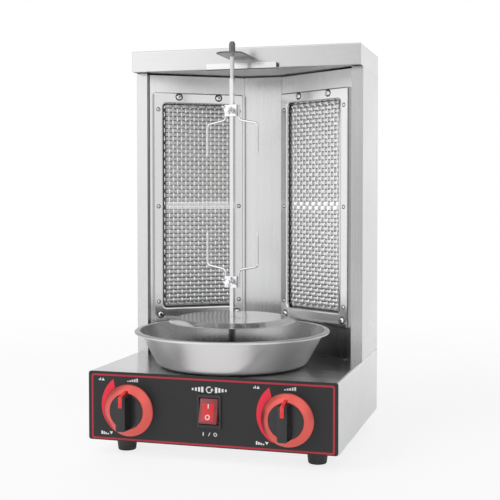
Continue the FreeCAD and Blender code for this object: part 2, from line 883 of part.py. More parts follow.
def make_drive():
    """Gear motor's output shaft: round, with a square socket for the foot of the spit."""
    shaft = cut(
        rod("shaft_r", "shaft_high - shaft_low", z="shaft_low"),
        square("socket_wide", "shaft_high - socket_deep", "shaft_high + 1"),
    )
    node("drive_shaft", on_spit(shaft))
    bush = cut(
        fuse(rod("disc_hub_r - 0.1", "6", z="deck_level - 6"),
             rod("pan_collar_r - 2", "1.6", z="deck_level")),
        rod("shaft_r + run_gap", "10", z="deck_level - 7"),
    )
    node("deck_bush", on_spit(bush))


def make_spit():
    """Square bar with a round journal and a threaded tip, the plate under the meat, and the cap nut."""
    bar = fuse(
        square("bar_wide", "bar_low", "bar_high"),
        rod("journal_r", "journal_high - bar_high + 1", z="bar_high - 1"),
        rod("thread_r", "thread_high - journal_high + 1", z="journal_high - 1"),
    )
    node("spit_bar", on_spit(bar))

    disc = turned("meat_disc_sheet", [
        ("bar_wide * 0.72", "disc_hub_low"),
        ("disc_hub_r", "disc_hub_low"),
        ("disc_hub_r", "disc_top - disc_thick"),
        ("disc_flat_r - 0.4", "disc_top - disc_thick"),
        ("disc_r", "disc_rim"),
        ("disc_r", "disc_rim + disc_thick"),
        ("disc_flat_r", "disc_top"),
        ("bar_wide * 0.72", "disc_top"),
    ])
    round_edges(disc, "disc_thick * 1.5", lambda e: is_ring(e, "disc_flat_r", "disc_top"))
    node("meat_disc", on_spit(disc))

    nut_low = "journal_high + 0.3"
    nut = cut(
        fuse(rod("journal_r + 1.2", "10.4", z=nut_low),
             cone("journal_r + 1.2", "thread_r", "3.6", z=f"{nut_low} + 10.4")),
        rod("thread_r + run_gap", f"thread_high + 0.5 - ({nut_low}) + 1", z=f"{nut_low} - 1"),
    )
    node("spit_cap_nut", on_spit(nut))


def prong_path(sign, up, kind):
    """Corners of one prong: up beside the hub, out along the arm, and back along the spit.

    up is 1 where the prongs point up and -1 where they point down.
    """
    beside = value("hub_wide / 2 + prong_r * 0.7")
    reach, rise, drop = value("prong_reach"), value(f"{kind}_rise"), value(f"{kind}_drop")
    half_hub = value("hub_tall / 2")
    arm_level = half_hub + rise
    return [
        Vector(sign * beside, 0, up * -half_hub),
        Vector(sign * beside, 0, up * arm_level),
        Vector(sign * reach, 0, up * (arm_level + 5)),
        Vector(sign * reach, 0, up * (arm_level + drop)),
    ]


def prong_point(end, up, radius, long):
    """Pointed end of a prong, beyond the end of its wire."""
    return Part.makeCone(radius, radius * 0.25, long, end, Vector(0, 0, up))


def make_fork(name, hub_centre, up, kind):
    """Sliding fork: a hub on the bar, a clamping screw hole in its front, and two pointed prongs."""
    half_tall = "hub_tall / 2"
    hub = cut(
        box(("-hub_wide / 2", "hub_wide / 2"), ("-hub_deep / 2", "hub_deep / 2"),
            (f"-{half_tall}", half_tall)),
        square("socket_wide", f"-{half_tall} - 1", f"{half_tall} + 1"),
        rod("wing_screw_r + run_gap", "hub_deep / 2", "0", "-hub_deep / 2", "0", "y"),
    )
    doc.recompute()
    radius = value("prong_r")
    solids = [hub.Shape.copy()]
    for sign in SIDES.values():
        path = prong_path(sign, up, kind)
        wire = bent_bar(path, radius, value("prong_bend"))
        solids.append(wire.fuse(prong_point(path[-1], up, radius, value("prong_point"))))
    fork = doc.addObject("Part::Feature", name)
    fork.Shape = solids[0].multiFuse(solids[1:])
    on_spit(fork, hub_centre)
    node(name, fork)


def make_wing_screw(name, hub_centre):
    """Clamping screw with two wings, in the front face of a fork's hub."""
    face = "-hub_deep / 2"
    tip = "-socket_wide / 2 - 0.3"
    shank = rod("wing_screw_r", f"{tip} - ({face}) + 9", "0", f"{face} - 9", "0", "y")
    boss = cone("wing_screw_r + 1.4", "wing_screw_r + 2", "4", "0", f"{face} - 10.5", "0", "y")
    wings = [
        box((f"{sign} * 3 - 1.2", f"{sign} * 3 + 1.2"), (f"{face} - 14.5", f"{face} - 7.5"),
            (f"{low}", f"{high}"))
        for sign, low, high in ((1, "-7.5", "2"), (-1, "-2", "7.5"))
    ]
    screw_piece = fuse(shank, boss, *wings)
    on_spit(screw_piece, hub_centre)
    node(name, screw_piece)


def make_pan():
    """Round drip pan with a flared wall, a rolled rim and a collar round the drive shaft."""
    low = "pan_gap"
    top = "pan_high"
    pan = turned("drip_pan", [
        ("pan_collar_r - pan_sheet", low),
        ("pan_floor_r", low),
        ("pan_mouth_r", f"{top} - pan_sheet"),
        ("pan_rim_r - pan_sheet", f"{top} - pan_sheet"),
        ("pan_rim_r - pan_sheet", f"{top} - 3"),
        ("pan_rim_r", f"{top} - 3"),
        ("pan_rim_r", top),
        ("pan_mouth_r - 0.5", top),
        ("pan_floor_r - 0.5", f"{low} + pan_sheet"),
        ("pan_collar_r", f"{low} + pan_sheet"),
        ("pan_collar_r", "pan_collar_high"),
        ("pan_collar_r - pan_sheet", "pan_collar_high"),
    ])
    round_edges(pan, "pan_fillet", lambda e: is_ring(e, "pan_floor_r", low)
                or is_ring(e, "pan_floor_r - 0.5", f"{low} + pan_sheet"))
    round_edges(pan, "pan_sheet", lambda e: is_ring(e, "pan_rim_r", top))
    place(pan, "0", "front_face + spit_back", "deck_level")
    node("drip_pan", pan)


# ---------------------------------------------------------------- controls

def make_knob(side, sign):
    """Gas control: a stem that is pushed in, a black grip, a spun red ring and a red pointer."""
    x, z = f"{sign} * knob_x", "knob_z"
    stem = rod("stem_r", "knob_back + 34", x, "front_face - knob_back - 10", z, "y")
    node(f"knob_stem_{side}", stem)

    core = rod("knob_core_r - run_gap", "ring_front - knob_back", "0", "-ring_front", "0", "y")
    bar = box(("-grip_wide / 2", "grip_wide / 2"), ("-grip_front", "-ring_front"),
              ("-grip_half", "grip_half"))
    pointer_slot = box(("-pointer_wide / 2", "pointer_wide / 2"), ("-grip_front - 1", "-grip_front + 1.2"),
                       ("grip_half - 13", "grip_half + 1"))
    bore = rod("stem_r + run_gap", "knob_back + 12", "0", "-knob_back - 10.5", "0", "y")
    knob = cut(fuse(core, bar), pointer_slot, bore)
    place(knob, x, "front_face", z)
    node(f"knob_{side}", knob)

    pointer = box(("-pointer_wide / 2", "pointer_wide / 2"), ("-grip_front", "-grip_front + 1.2"),
                  ("grip_half - 13", "grip_half"))
    place(pointer, x, "front_face - grip_front", f"{z} + grip_half - 13")
    bind(pointer, "Placement.Base.x", f"{x} - pointer_wide / 2")
    node(f"knob_pointer_{side}", pointer)

    ring = turned(f"ring_{side}", [
        ("knob_core_r", "ring_edge - 1"),
        ("ring_inner_r + 3", "ring_edge - 1"),
        ("ring_outer_r - ring_sheet * 2", "ring_edge"),
        ("ring_outer_r", "ring_edge"),
        ("ring_inner_r", "ring_front"),
        ("knob_core_r", "ring_front"),
    ])
    place(ring, x, "front_face", z, "90", (1, 0, 0))
    node(f"knob_ring_{side}", ring)


def make_switch():
    """Rocker switch: a bezel and body in the panel, a red rocker and its raised centre."""
    half_x, half_z = "bezel_wide / 2", "bezel_high / 2"
    opening = ("-rocker_wide / 2 - 0.35", "rocker_wide / 2 + 0.35")
    tall = ("-rocker_r - 0.5", "rocker_r + 0.5")
    sockets = rod("pivot_r + run_gap", "rocker_wide + pivot_proud * 2 + 0.2",
                  "-rocker_wide / 2 - pivot_proud - 0.1", "0", "0", "x")
    housing = cut(
        fuse(
            box((f"-{half_x}", half_x), ("-bezel_proud", "0"), (f"-{half_z}", half_z)),
            box((f"-{half_x} + 2.1", f"{half_x} - 2.1"), ("-bezel_proud / 2", "switch_deep"),
                (f"-{half_z} + 2.1", f"{half_z} - 2.1")),
        ),
        box(opening, ("-bezel_proud - 1", "switch_deep - 3"), tall),
        sockets,
    )
    place(housing, "0", "front_face", "switch_z")
    node("switch_housing", housing)

    body = new_body("rocker_solid")
    drawing = new_sketch(body, "YZ_Plane", "-rocker_wide / 2")
    draw_polygon(drawing, [
        ("-1.5", "rocker_r - 0.1"),
        ("-4.4", "1"),
        ("-9", "-rocker_r + 2.8"),
        ("-4", "-rocker_r + 0.6"),
        ("3", "-rocker_r + 1.2"),
        ("8", "-rocker_r / 2"),
        ("8", "rocker_r / 2"),
        ("3", "rocker_r - 0.8"),
    ])
    pad(body, drawing, "rocker_wide")
    core_room = box(("-7.5", "7.5"), ("-12", "0"), ("-rocker_r + 5", "rocker_r - 4"))
    pivots = [rod("pivot_r", "3 + pivot_proud", start, "0", "0", "x")
              for start in ("-rocker_wide / 2 - pivot_proud", "rocker_wide / 2 - 3")]
    rocker = fuse(cut(body, core_room), *pivots)
    place(rocker, "0", "front_face", "switch_z")
    node("rocker", rocker)

    core = doc.addObject("Part::Common", "core")
    core.Base = body
    core.Tool = core_room
    place(core, "0", "front_face", "switch_z")
    node("rocker_core", core)


# ---------------------------------------------------------------- under the deck

def make_motor():
    """Gear motor hung under the deck on a folded bracket."""
    back = "spit_back"
    gearbox = cut(
        box(("-gearbox_x / 2", "gearbox_x / 2"), ("-gearbox_y / 2", "gearbox_y / 2"),
            ("gearbox_low", "gearbox_high")),
        rod("shaft_r + run_gap", "gearbox_high - shaft_low + 2", z="shaft_low - 0.5"),
    )
    place(gearbox, "0", f"front_face + {back}", "0")
    node("motor_gearbox", gearbox)
    motor = rod("motor_r", "gearbox_low - motor_low")
    place(motor, "0", f"front_face + {back}", "motor_low")
    node("motor_body", motor)

    body = new_body("motor_bracket_fold")
    section = new_sketch(body, "XZ_Plane", "-gearbox_y / 2")
    half, low, high = "gearbox_x / 2 + 12", "gearbox_high", "deck_level - steel"
    draw_polygon(section, [
        (f"-({half})", low),
        (half, low),
        (half, f"{high} - steel"),
        (f"{half} + 12", f"{high} - steel"),
        (f"{half} + 12", high),
        (f"{half} - steel", high),
        (f"{half} - steel", f"{low} + steel"),
        (f"-({half}) + steel", f"{low} + steel"),
        (f"-({half}) + steel", high),
        (f"-({half}) - 12", high),
        (f"-({half}) - 12", f"{high} - steel"),
        (f"-({half})", f"{high} - steel"),
    ])
    pad(body, section, "gearbox_y")
    bracket = cut(body, rod("disc_hub_r + 1", "steel * 4", z=f"{low} - steel"))
    place(bracket, "0", f"front_face + {back}", "0")
    node("motor_bracket", bracket)


def pipe(corners, bend="9"):
    """A bent gas pipe through corners given as formulas, measured from the base's front face."""
    points = [Vector(value(x), value(f"front_face + ({y})"), value(z)) for x, y, z in corners]
    return bent_bar(points, value("pipe_r"), value(bend))


def make_gas_parts():
    """Valves, the manifold that feeds them, the inlet, and the pipe and injector of each burner."""
    back_face = "base_depth"
    for side, sign in SIDES.items():
        x = f"{sign} * knob_x"
        valve = cut(
            fuse(
                box(("-valve_wide / 2", "valve_wide / 2"),
                    ("fascia_thick + 8", "fascia_thick + 8 + valve_deep"),
                    ("-valve_wide / 2", "valve_wide / 2")),
                rod("stem_r + 3.5", "8.5", "0", "fascia_thick", "0", "y"),
            ),
            rod("stem_r + run_gap", "30", "0", "0", "0", "y"),
        )
        place(valve, x, "front_face", "knob_z")
        node(f"gas_valve_{side}", valve)

        end_x, end_y = mixing_spot(sign)
        start_y = "fascia_thick + 8 + valve_deep"
        level = "knob_z"
        top = "deck_level - 24"
        feed = doc.addObject("Part::Feature", f"burner_pipe_{side}")
        tube = pipe([(x, start_y, level), (x, f"{end_y} - 30", level),
                     (end_x, end_y, level), (end_x, end_y, top)], "8")
        spot = Vector(value(end_x), value(f"front_face + ({end_y})"), value(top) - 1)
        jet = Part.makeCone(value("pipe_r") + 2, 1.2, 8, spot)
        feed.Shape = tube.fuse(jet)
        node(f"burner_pipe_{side}", feed)

    manifold = doc.addObject("Part::Feature", "gas_manifold")
    level, line = "manifold_z", "manifold_y"
    manifold.Shape = pipe([("-knob_x", line, "knob_z - valve_wide / 2"), ("-knob_x", line, level),
                           ("knob_x", line, level), ("knob_x", line, "knob_z - valve_wide / 2")])
    node("gas_manifold", manifold)

    inlet_start = f"{back_face} - 16"
    inlet = cut(
        fuse(rod("inlet_r", "inlet_proud", "inlet_x", back_face, "inlet_z", "y"),
             rod("inlet_shank_r", "16", "inlet_x", inlet_start, "inlet_z", "y"),
             rod("inlet_r + 4", "4", "inlet_x", f"{back_face} - steel - 4", "inlet_z", "y")),
        rod("inlet_r - 2.5", "30 + inlet_proud", "inlet_x", f"{inlet_start} + 5", "inlet_z", "y"),
    )
    place(inlet, "0", "front_face", "0")
    node("gas_inlet", inlet)

    supply_pipe = doc.addObject("Part::Feature", "supply_pipe")
    supply_pipe.Shape = pipe([
        ("inlet_x - 30", f"{line} + pipe_r", level),
        ("inlet_x - 30", "base_depth - 60", level),
        ("inlet_x", "base_depth - 38", "inlet_z"),
        ("inlet_x", inlet_start, "inlet_z"),
    ], "7")
    node("supply_pipe", supply_pipe)


def make_gland():
    """Gland in the rear panel that the mains lead would come through."""
    gland = cut(
        fuse(rod("gland_r", "gland_proud", "gland_x", "base_depth", "gland_z", "y"),
             rod("gland_r - 2.1", "14", "gland_x", "base_depth - 13", "gland_z", "y"),
             rod("gland_r", "4", "gland_x", "base_depth - steel - 4", "gland_z", "y")),
        rod("gland_bore", "40", "gland_x", "base_depth - 20", "gland_z", "y"),
    )
    place(gland, "0", "front_face", "0")
    node("cable_gland", gland)


# ---------------------------------------------------------------- build, check and write

def build():
    fill_sheet()
    make_base_shell()
    make_base_panels()
    make_fascia()
    make_feet()
    make_panel_screws()
    make_tower_back()
    make_back_reflector()
    make_cap()
    make_bracket()
    for side, sign in SIDES.items():
        make_tower_side(side, sign)
        make_inner_wall(side, sign)
        make_burner(side, sign)
        make_knob(side, sign)
    make_drive()
    make_spit()
    make_fork("fork_upper", "upper_hub", -1, "upper_prong")
    make_fork("fork_lower", "lower_hub", 1, "prong")
    make_wing_screw("wing_screw_upper", "upper_hub")
    make_wing_screw("wing_screw_lower", "lower_hub")
    make_pan()
    make_switch()
    make_motor()
    make_gas_parts()
    make_gland()
    doc.recompute()


def check():
    """Stop if any object failed, or any sub-part has no valid shape."""
    for thing in doc.Objects:
        if "Invalid" in thing.State or "Error" in thing.State:
            raise RuntimeError(f"{thing.Name} ({thing.Label}) failed: {thing.State}")
    for part in nodes:
        if part.Shape.isNull() or not part.Shape.isValid() or not part.Shape.Solids:
            raise RuntimeError(f"{part.Label} has no valid solid")


def write():
    os.makedirs("parts", exist_ok=True)
    for part in nodes:
        part.Shape.exportStep(f"parts/{part.Label}.step")
    print(len(nodes), "sub-parts")


build()
check()
write()
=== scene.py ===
"""Looks for a table-top vertical rotisserie oven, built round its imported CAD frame.

Sizes and places are in millimetres in the frame's own axes, and MM turns them into metres.
"""
import json
import math
import random

import bmesh
import bpy
from mathutils import Matrix, Vector


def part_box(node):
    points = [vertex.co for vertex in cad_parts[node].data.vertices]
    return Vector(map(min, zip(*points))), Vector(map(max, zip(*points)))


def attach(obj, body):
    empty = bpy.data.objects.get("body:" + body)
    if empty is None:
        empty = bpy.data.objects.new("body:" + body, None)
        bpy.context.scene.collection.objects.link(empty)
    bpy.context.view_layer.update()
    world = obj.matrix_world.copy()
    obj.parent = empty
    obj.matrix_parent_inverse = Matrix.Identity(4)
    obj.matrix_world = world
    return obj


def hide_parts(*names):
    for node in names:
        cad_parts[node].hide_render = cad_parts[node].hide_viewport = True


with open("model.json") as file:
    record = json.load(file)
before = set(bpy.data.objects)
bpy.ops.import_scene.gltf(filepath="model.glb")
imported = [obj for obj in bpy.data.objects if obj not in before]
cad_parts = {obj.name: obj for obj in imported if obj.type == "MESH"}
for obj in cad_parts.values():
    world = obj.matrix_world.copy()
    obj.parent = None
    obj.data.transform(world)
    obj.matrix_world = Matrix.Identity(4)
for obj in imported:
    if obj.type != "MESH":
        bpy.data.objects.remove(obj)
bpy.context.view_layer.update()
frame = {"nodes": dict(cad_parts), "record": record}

MM = 0.001
SIDES = {"left": -1, "right": 1}


def low(node):
    """Lowest corner of a CAD node's box."""
    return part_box(node)[0] / MM


def high(node):
    """Highest corner of a CAD node's box."""
    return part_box(node)[1] / MM


def centre_of(node):
    """Middle of a CAD node's box."""
    return (low(node) + high(node)) / 2


FRONT = low("fascia").y
REAR = high("base_back_panel").y
DECK = high("base_shell").z
RAIL = low("bracket_rail").z
SPIT = centre_of("drive_shaft")
SPIT_TURN = math.radians(-12)
WALL_TURN = math.radians(33.22)
WALL_MID = (83.5, 76.3)
KNOB = (98, 60.5)
SWITCH_Z = 63
FOOT_R = 13.5
FEET = [(x, y) for x in (low("rubber_feet").x + FOOT_R, high("rubber_feet").x - FOOT_R)
        for y in (low("rubber_feet").y + FOOT_R, high("rubber_feet").y - FOOT_R)]


# ---------------------------------------------------------------- places

def moved(x=0, y=0, z=0):
    """A shift."""
    return Matrix.Translation((x, y, z))


def turned(angle, axis="Z"):
    """A turn about one axis."""
    return Matrix.Rotation(angle, 4, axis)


HERE = Matrix()
TO_FRONT = turned(math.pi / 2, "X")
TO_REAR = turned(-math.pi / 2, "X")
DOWNWARD = turned(math.pi, "X")


def on_wall(side):
    """The burner wall's own frame: x along the wall, y behind it, z up."""
    sign = SIDES[side]
    return moved(sign * WALL_MID[0], WALL_MID[1]) @ turned(-sign * WALL_TURN)


def on_spit(z=0):
    """The spit's own frame: z up its axis, -y out of the front face of the square bar."""
    return moved(SPIT.x, SPIT.y, z) @ turned(SPIT_TURN)


def on_panel(x=0, z=0):
    """A frame on the control panel: x to the right, y up, z out of the panel."""
    return moved(x, FRONT, z) @ TO_FRONT


def on_rear(node):
    """A frame on the rear panel, level with the middle of a fitting: z out of the panel."""
    return moved(centre_of(node).x, REAR, centre_of(node).z) @ TO_REAR


# ---------------------------------------------------------------- shapes

def make_object(name, bm, at=HERE, sharp=35):
    """A mesh object from a bmesh in millimetres, placed by a matrix in millimetres."""
    mesh = bpy.data.meshes.new(name)
    bmesh.ops.recalc_face_normals(bm, faces=bm.faces)
    bm.to_mesh(mesh)
    bm.free()
    mesh.transform(Matrix.Scale(MM, 4))
    mesh.polygons.foreach_set("use_smooth", [True] * len(mesh.polygons))
    mesh.set_sharp_from_angle(angle=math.radians(sharp))
    obj = bpy.data.objects.new(name, mesh)
    bpy.context.scene.collection.objects.link(obj)
    place = at.copy()
    place.translation *= MM
    obj.matrix_world = place
    return obj


def rectangle(half_x, half_y, x=0, y=0):
    """Corners of a rectangle round a centre."""
    return [(x - half_x, y - half_y), (x + half_x, y - half_y),
            (x + half_x, y + half_y), (x - half_x, y + half_y)]


def circle(radius, count):
    """Points evenly round a circle."""
    angles = [2 * math.pi * i / count for i in range(count)]
    return [(radius * math.cos(a), radius * math.sin(a)) for a in angles]


def arc_points(centre, radius, start, end, steps):
    """Points along an arc, with the angles in degrees."""
    angles = [math.radians(start + (end - start) * i / steps) for i in range(steps + 1)]
    return [(centre[0] + radius * math.cos(a), centre[1] + radius * math.sin(a)) for a in angles]


def soften(corners, radius, steps=5, closed=False):
    """A line through 2-D corners with each corner rounded. A corner may give its own radius third."""
    points = [Vector(c[:2]) for c in corners]
    radii = [c[2] if len(c) > 2 else radius for c in corners]
    made = []
    for i, corner in enumerate(points):
        if not closed and i in (0, len(points) - 1):
            made.append(corner)
            continue
        into = points[i - 1] - corner
        out = points[(i + 1) % len(points)] - corner
        half = into.angle(out) / 2
        reach = min(radii[i] / math.tan(half), into.length * 0.49, out.length * 0.49)
        if reach < 1e-4 or half > math.radians(89):
            made.append(corner)
            continue
        start, end = corner + into.normalized() * reach, corner + out.normalized() * reach
        for step in range(steps + 1):
            t = step / steps
            made.append(start * (1 - t) ** 2 + corner * 2 * t * (1 - t) + end * t ** 2)
    return [tuple(p) for p in made]


def add_verts(bm, points, at=HERE):
    """New vertices at some points, placed by a matrix."""
    return [bm.verts.new(at @ Vector(point)) for point in points]


def join_loops(bm, a, b, look=0, closed=True):
    """A strip of faces between two matching lines of vertices."""
    for i in range(len(a) if closed else len(a) - 1):
        j = (i + 1) % len(a)
        bm.faces.new((a[i], a[j], b[j], b[i])).material_index = look


def bevel_edges(bm, edges, size, segments, made=()):
    """Round some edges. Gives what is left of the vertices in made, and the new ones."""
    new = bmesh.ops.bevel(bm, geom=list(edges), offset=size, segments=segments, profile=0.5,
                          affect="EDGES", clamp_overlap=True)["verts"]
    return list({v for v in (*made, *new) if v.is_valid})


def add_lathe(bm, outline, at=HERE, around=96, closed=False):
    """Turn an outline of (radius, height) about z. Points on the axis become one vertex."""
    rings = []
    for radius, height in outline:
        spots = [(0, 0)] if radius < 1e-5 else circle(radius, around)
        rings.append(add_verts(bm, [(x, y, height) for x, y in spots], at))
    pairs = list(zip(rings, rings[1:]))
    if closed:
        pairs.append((rings[-1], rings[0]))
    for a, b in pairs:
        for i in range(around):
            j = (i + 1) % around
            corners = [a[i % len(a)], a[j % len(a)], b[j % len(b)], b[i % len(b)]]
            unique = list(dict.fromkeys(corners))
            if len(unique) > 2:
                bm.faces.new(unique)


def lathe(outline, around, closed=False):
    """A bmesh of one turned outline."""
    bm = bmesh.new()
    add_lathe(bm, outline, HERE, around, closed)
    return bm


def add_prism(bm, outline, z0, z1, at=HERE, bevel=0, segments=3, keep_low=False):
    """Extrude a closed 2-D outline from z0 to z1. A bevel rounds its end rims, or the upper one only."""
    bottom = add_verts(bm, [(x, y, z0) for x, y in outline])
    top = add_verts(bm, [(x, y, z1) for x, y in outline])
    ends = [bm.faces.new(top), bm.faces.new(bottom[::-1])]
    join_loops(bm, bottom, top)
    made = bottom + top
    if bevel:
        rims = set(ends[0].edges) if keep_low else set(ends[0].edges) | set(ends[1].edges)
        made = bevel_edges(bm, rims, bevel, segments, made)
    bmesh.ops.transform(bm, matrix=at, verts=made)


def add_block(bm, lo, hi, at=HERE, bevel=0.5, segments=3):
    """A box between two corners with all its edges rounded."""
    size = Vector(hi) - Vector(lo)
    centre = (Vector(hi) + Vector(lo)) / 2
    made = bmesh.ops.create_cube(bm, size=1)["verts"]
    shape = Matrix.Translation(centre) @ Matrix.Diagonal((*size, 1))
    bmesh.ops.transform(bm, matrix=shape, verts=made)
    edges = {e for v in made for e in v.link_edges}
    made = bevel_edges(bm, edges, bevel, segments, made)
    bmesh.ops.transform(bm, matrix=at, verts=made)


# ---------------------------------------------------------------- materials

looks = {}


class Nodes:
    """A node tree. A value given to an input is a constant, or the output of another node."""

    def __init__(self, tree):
        self.tree = tree

    def feed(self, socket, value):
        """Set a socket to a constant, or link an output to it."""
        if isinstance(value, bpy.types.NodeSocket):
            self.tree.links.new(value, socket)
        else:
            socket.default_value = value

    def node(self, kind, inputs=None, **settings):
        """Add a node with its settings, and give its inputs their values."""
        made = self.tree.nodes.new("ShaderNode" + kind)
        for name, setting in settings.items():
            setattr(made, name, setting)
        for socket, value in (inputs or {}).items():
            self.feed(made.inputs[socket], value)
        return made

    def maths(self, operation, a, b):
        """One sum of two values."""
        return self.node("Math", {0: a, 1: b}, operation=operation).outputs[0]

    def mix(self, factor, a, b, kind="MIX"):
        """Two colours blended by a factor."""
        return self.node("Mix", {0: factor, 6: a, 7: b}, data_type="RGBA", blend_type=kind).outputs[2]

    def fit(self, value, low_out, high_out, low_in=0.3, high_in=0.7, **settings):
        """Map a value's usual range onto another one."""
        ends = {"From Min": low_in, "From Max": high_in, "To Min": low_out, "To Max": high_out}
        return self.node("MapRange", {"Value": value, **ends}, **settings).outputs["Result"]


class Finish(Nodes):
    """One Principled material, kept in looks, and the few node recipes that the finishes share."""

    def __init__(self, name, colour, roughness, metallic=0.0, **constants):
        looks[name] = bpy.data.materials.new(name)
        looks[name].use_nodes = True
        looks[name].diffuse_color = (*colour, 1)
        super().__init__(looks[name].node_tree)
        self.shader = self.tree.nodes["Principled BSDF"]
        self.normal = None
        basics = {"Base Color": (*colour, 1), "Roughness": roughness, "Metallic": metallic}
        for socket, amount in {**basics, **constants}.items():
            self.set(socket.replace("_", " "), amount)

    def set(self, socket, value):
        """Give one of the shader's inputs its value."""
        self.feed(self.shader.inputs[socket], value)

    def place(self, scale=(1, 1, 1), turn=(0, 0, 0), shift=(0, 0, 0)):
        """Object coordinates in millimetres, shifted, turned and scaled."""
        source = self.node("TexCoord").outputs["Object"]
        steps = {"Scale": [s / MM for s in scale], "Rotation": turn, "Location": shift}
        return self.node("Mapping", {"Vector": source, **steps}).outputs["Vector"]

    def noise(self, vector, detail, rough=0.5):
        """Noise, mostly between 0.3 and 0.7."""
        settings = {"Scale": 1.0, "Detail": detail, "Roughness": rough}
        return self.node("TexNoise", {"Vector": vector, **settings}).outputs["Fac"]

    def tint(self, value, dark, light):
        """Base colour between two shades by a 0-1 value."""
        self.set("Base Color", self.mix(value, (*dark, 1), (*light, 1)))

    def paint_shade_low(self, factor, z0, z1):
        """Painted shade: multiply the base colour by a factor below z0, easing to full colour at z1."""
        height = self.node("SeparateXYZ", {0: self.place()}).outputs[2]
        kept = self.fit(height, factor, 1, z0, z1, interpolation_type="SMOOTHSTEP")
        colour = self.shader.inputs["Base Color"].links[0].from_socket
        scaled = self.node("VectorMath", {0: colour, "Scale": kept}, operation="SCALE")
        self.set("Base Color", scaled.outputs[0])

    def vary_roughness(self, grain, marks, roughness, spread, share):
        """Roughness that follows the grain, and the handling marks by a share of the same spread."""
        self.set("Roughness", self.maths("ADD", self.fit(grain, roughness - spread, roughness + spread),
                                         self.fit(marks, -spread * share, spread * share)))

    def soft_edges(self, radius):
        """Shade sharp sheet edges as if they were rounded by this many millimetres."""
        self.normal = self.node("Bevel", {"Radius": radius * MM}, samples=4).outputs["Normal"]
        self.set("Normal", self.normal)

    def bump(self, value, depth):
        """Raise the surface by up to this many millimetres."""
        inputs = {"Distance": depth * MM, "Strength": 1.0, "Height": value}
        if self.normal:
            inputs["Normal"] = self.normal
        self.normal = self.node("Bump", inputs).outputs["Normal"]
        self.set("Normal", self.normal)


def shade(colour, factor):
    """A colour made darker or lighter."""
    return tuple(min(1.0, c * factor) for c in colour)


def grey(level, blue=0.005):
    """A neutral grey with a trace of blue."""
    return (level, level, level + blue)


def brushed(name, colour, roughness, along, spread=0.05, streak=0.05, edge=0.5, depth=0.0015, painted_shade=None):
    """Stainless sheet with fine grain along one axis, faint streaks, and handling marks.

    The last argument, where given, is painted shade: how far the metal's colour darkens downwards, and the
    heights between which it does.
    """
    finish = Finish(name, colour, roughness, 1.0)
    fine = [0.012 if axis == along else 2.2 for axis in "xyz"]
    broad = [0.002 if axis == along else 0.16 for axis in "xyz"]
    grain = finish.noise(finish.place(fine), 2)
    streaks = finish.noise(finish.place(broad), 3)
    marks = finish.noise(finish.place([0.012] * 3), 4, 0.6)
    finish.soft_edges(edge)
    finish.bump(grain, depth)
    finish.tint(streaks, shade(colour, 1 - streak), shade(colour, 1 + streak))
    # Painted shade: the colour darkens towards the bottom.
    if painted_shade:
        finish.paint_shade_low(*painted_shade)
    finish.vary_roughness(grain, marks, roughness, spread, 0.6)


def spun(name, colour, roughness, centre, spread, depth, anisotropic):
    """Metal spun or brushed in rings about a vertical axis through the centre given."""
    finish = Finish(name, colour, roughness, 1.0, Anisotropic=anisotropic)
    x, y, z = finish.node("SeparateXYZ", {0: finish.place(shift=(-centre[0], -centre[1], 0))}).outputs
    squares = [finish.maths("MULTIPLY", axis, axis) for axis in (x, y)]
    radius = finish.maths("SQRT", finish.maths("ADD", *squares), 0)
    pitch = 1.6
    across, up = [finish.maths("MULTIPLY", value, pitch) for value in (radius, z)]
    grain = finish.noise(finish.node("CombineXYZ", {0: across, 1: up}).outputs[0], 3)
    marks = finish.noise(finish.place([0.02] * 3), 4, 0.6)
    finish.set("Tangent", finish.node("Tangent", direction_type="RADIAL", axis="Z").outputs[0])
    finish.bump(grain, depth)
    finish.tint(marks, shade(colour, 0.96), shade(colour, 1.03))
    finish.vary_roughness(grain, marks, roughness, spread, 0.5)


def moulded(name, colour, roughness, grain=0.3, depth=0.006, edge=0.0, lift=1.25, **constants):
    """Moulded, painted or cast surface with a fine skin texture and slight wear in its gloss."""
    finish = Finish(name, colour, roughness, **constants)
    skin = finish.noise(finish.place([1 / grain] * 3), 3, 0.6)
    marks = finish.noise(finish.place([0.05] * 3), 4, 0.6)
    if edge:
        finish.soft_edges(edge)
    finish.bump(skin, depth)
    finish.tint(marks, shade(colour, 1 / lift), shade(colour, lift))
    finish.set("Roughness", finish.fit(marks, roughness * 0.8, min(1.0, roughness * 1.2)))


def ceramic(side):
    """Porous burner plaque: pale cordierite with a grid of gas holes, square to its own wall."""
    colour, hole = (0.6, 0.58, 0.55), (0.02, 0.018, 0.016)
    finish = Finish(f"ceramic_{side}", colour, 0.85)
    square = finish.place(turn=(0, 0, SIDES[side] * WALL_TURN))
    x, _, z = finish.node("SeparateXYZ", {0: square}).outputs
    face = finish.node("CombineXYZ", {0: x, 1: z}).outputs[0]
    cells = finish.node("TexVoronoi", {"Vector": face, "Scale": 0.42, "Randomness": 0.0},
                        voronoi_dimensions="2D", feature="F1")
    holes = finish.fit(cells.outputs["Distance"], 0, 1, 0.22, 0.36)
    pores = finish.noise(finish.place([1.3] * 3), 5, 0.7)
    finish.tint(finish.maths("MULTIPLY", holes, finish.fit(pores, 0.7, 1)), hole, colour)
    finish.bump(holes, 0.8)


STEEL, BRIGHT = grey(0.62), grey(0.66)
AXIS = (SPIT.x, SPIT.y)
METAL = {"Metallic": 1.0}
PRINTED = {"lift": 1.08, "Specular_IOR_Level": 0.3}

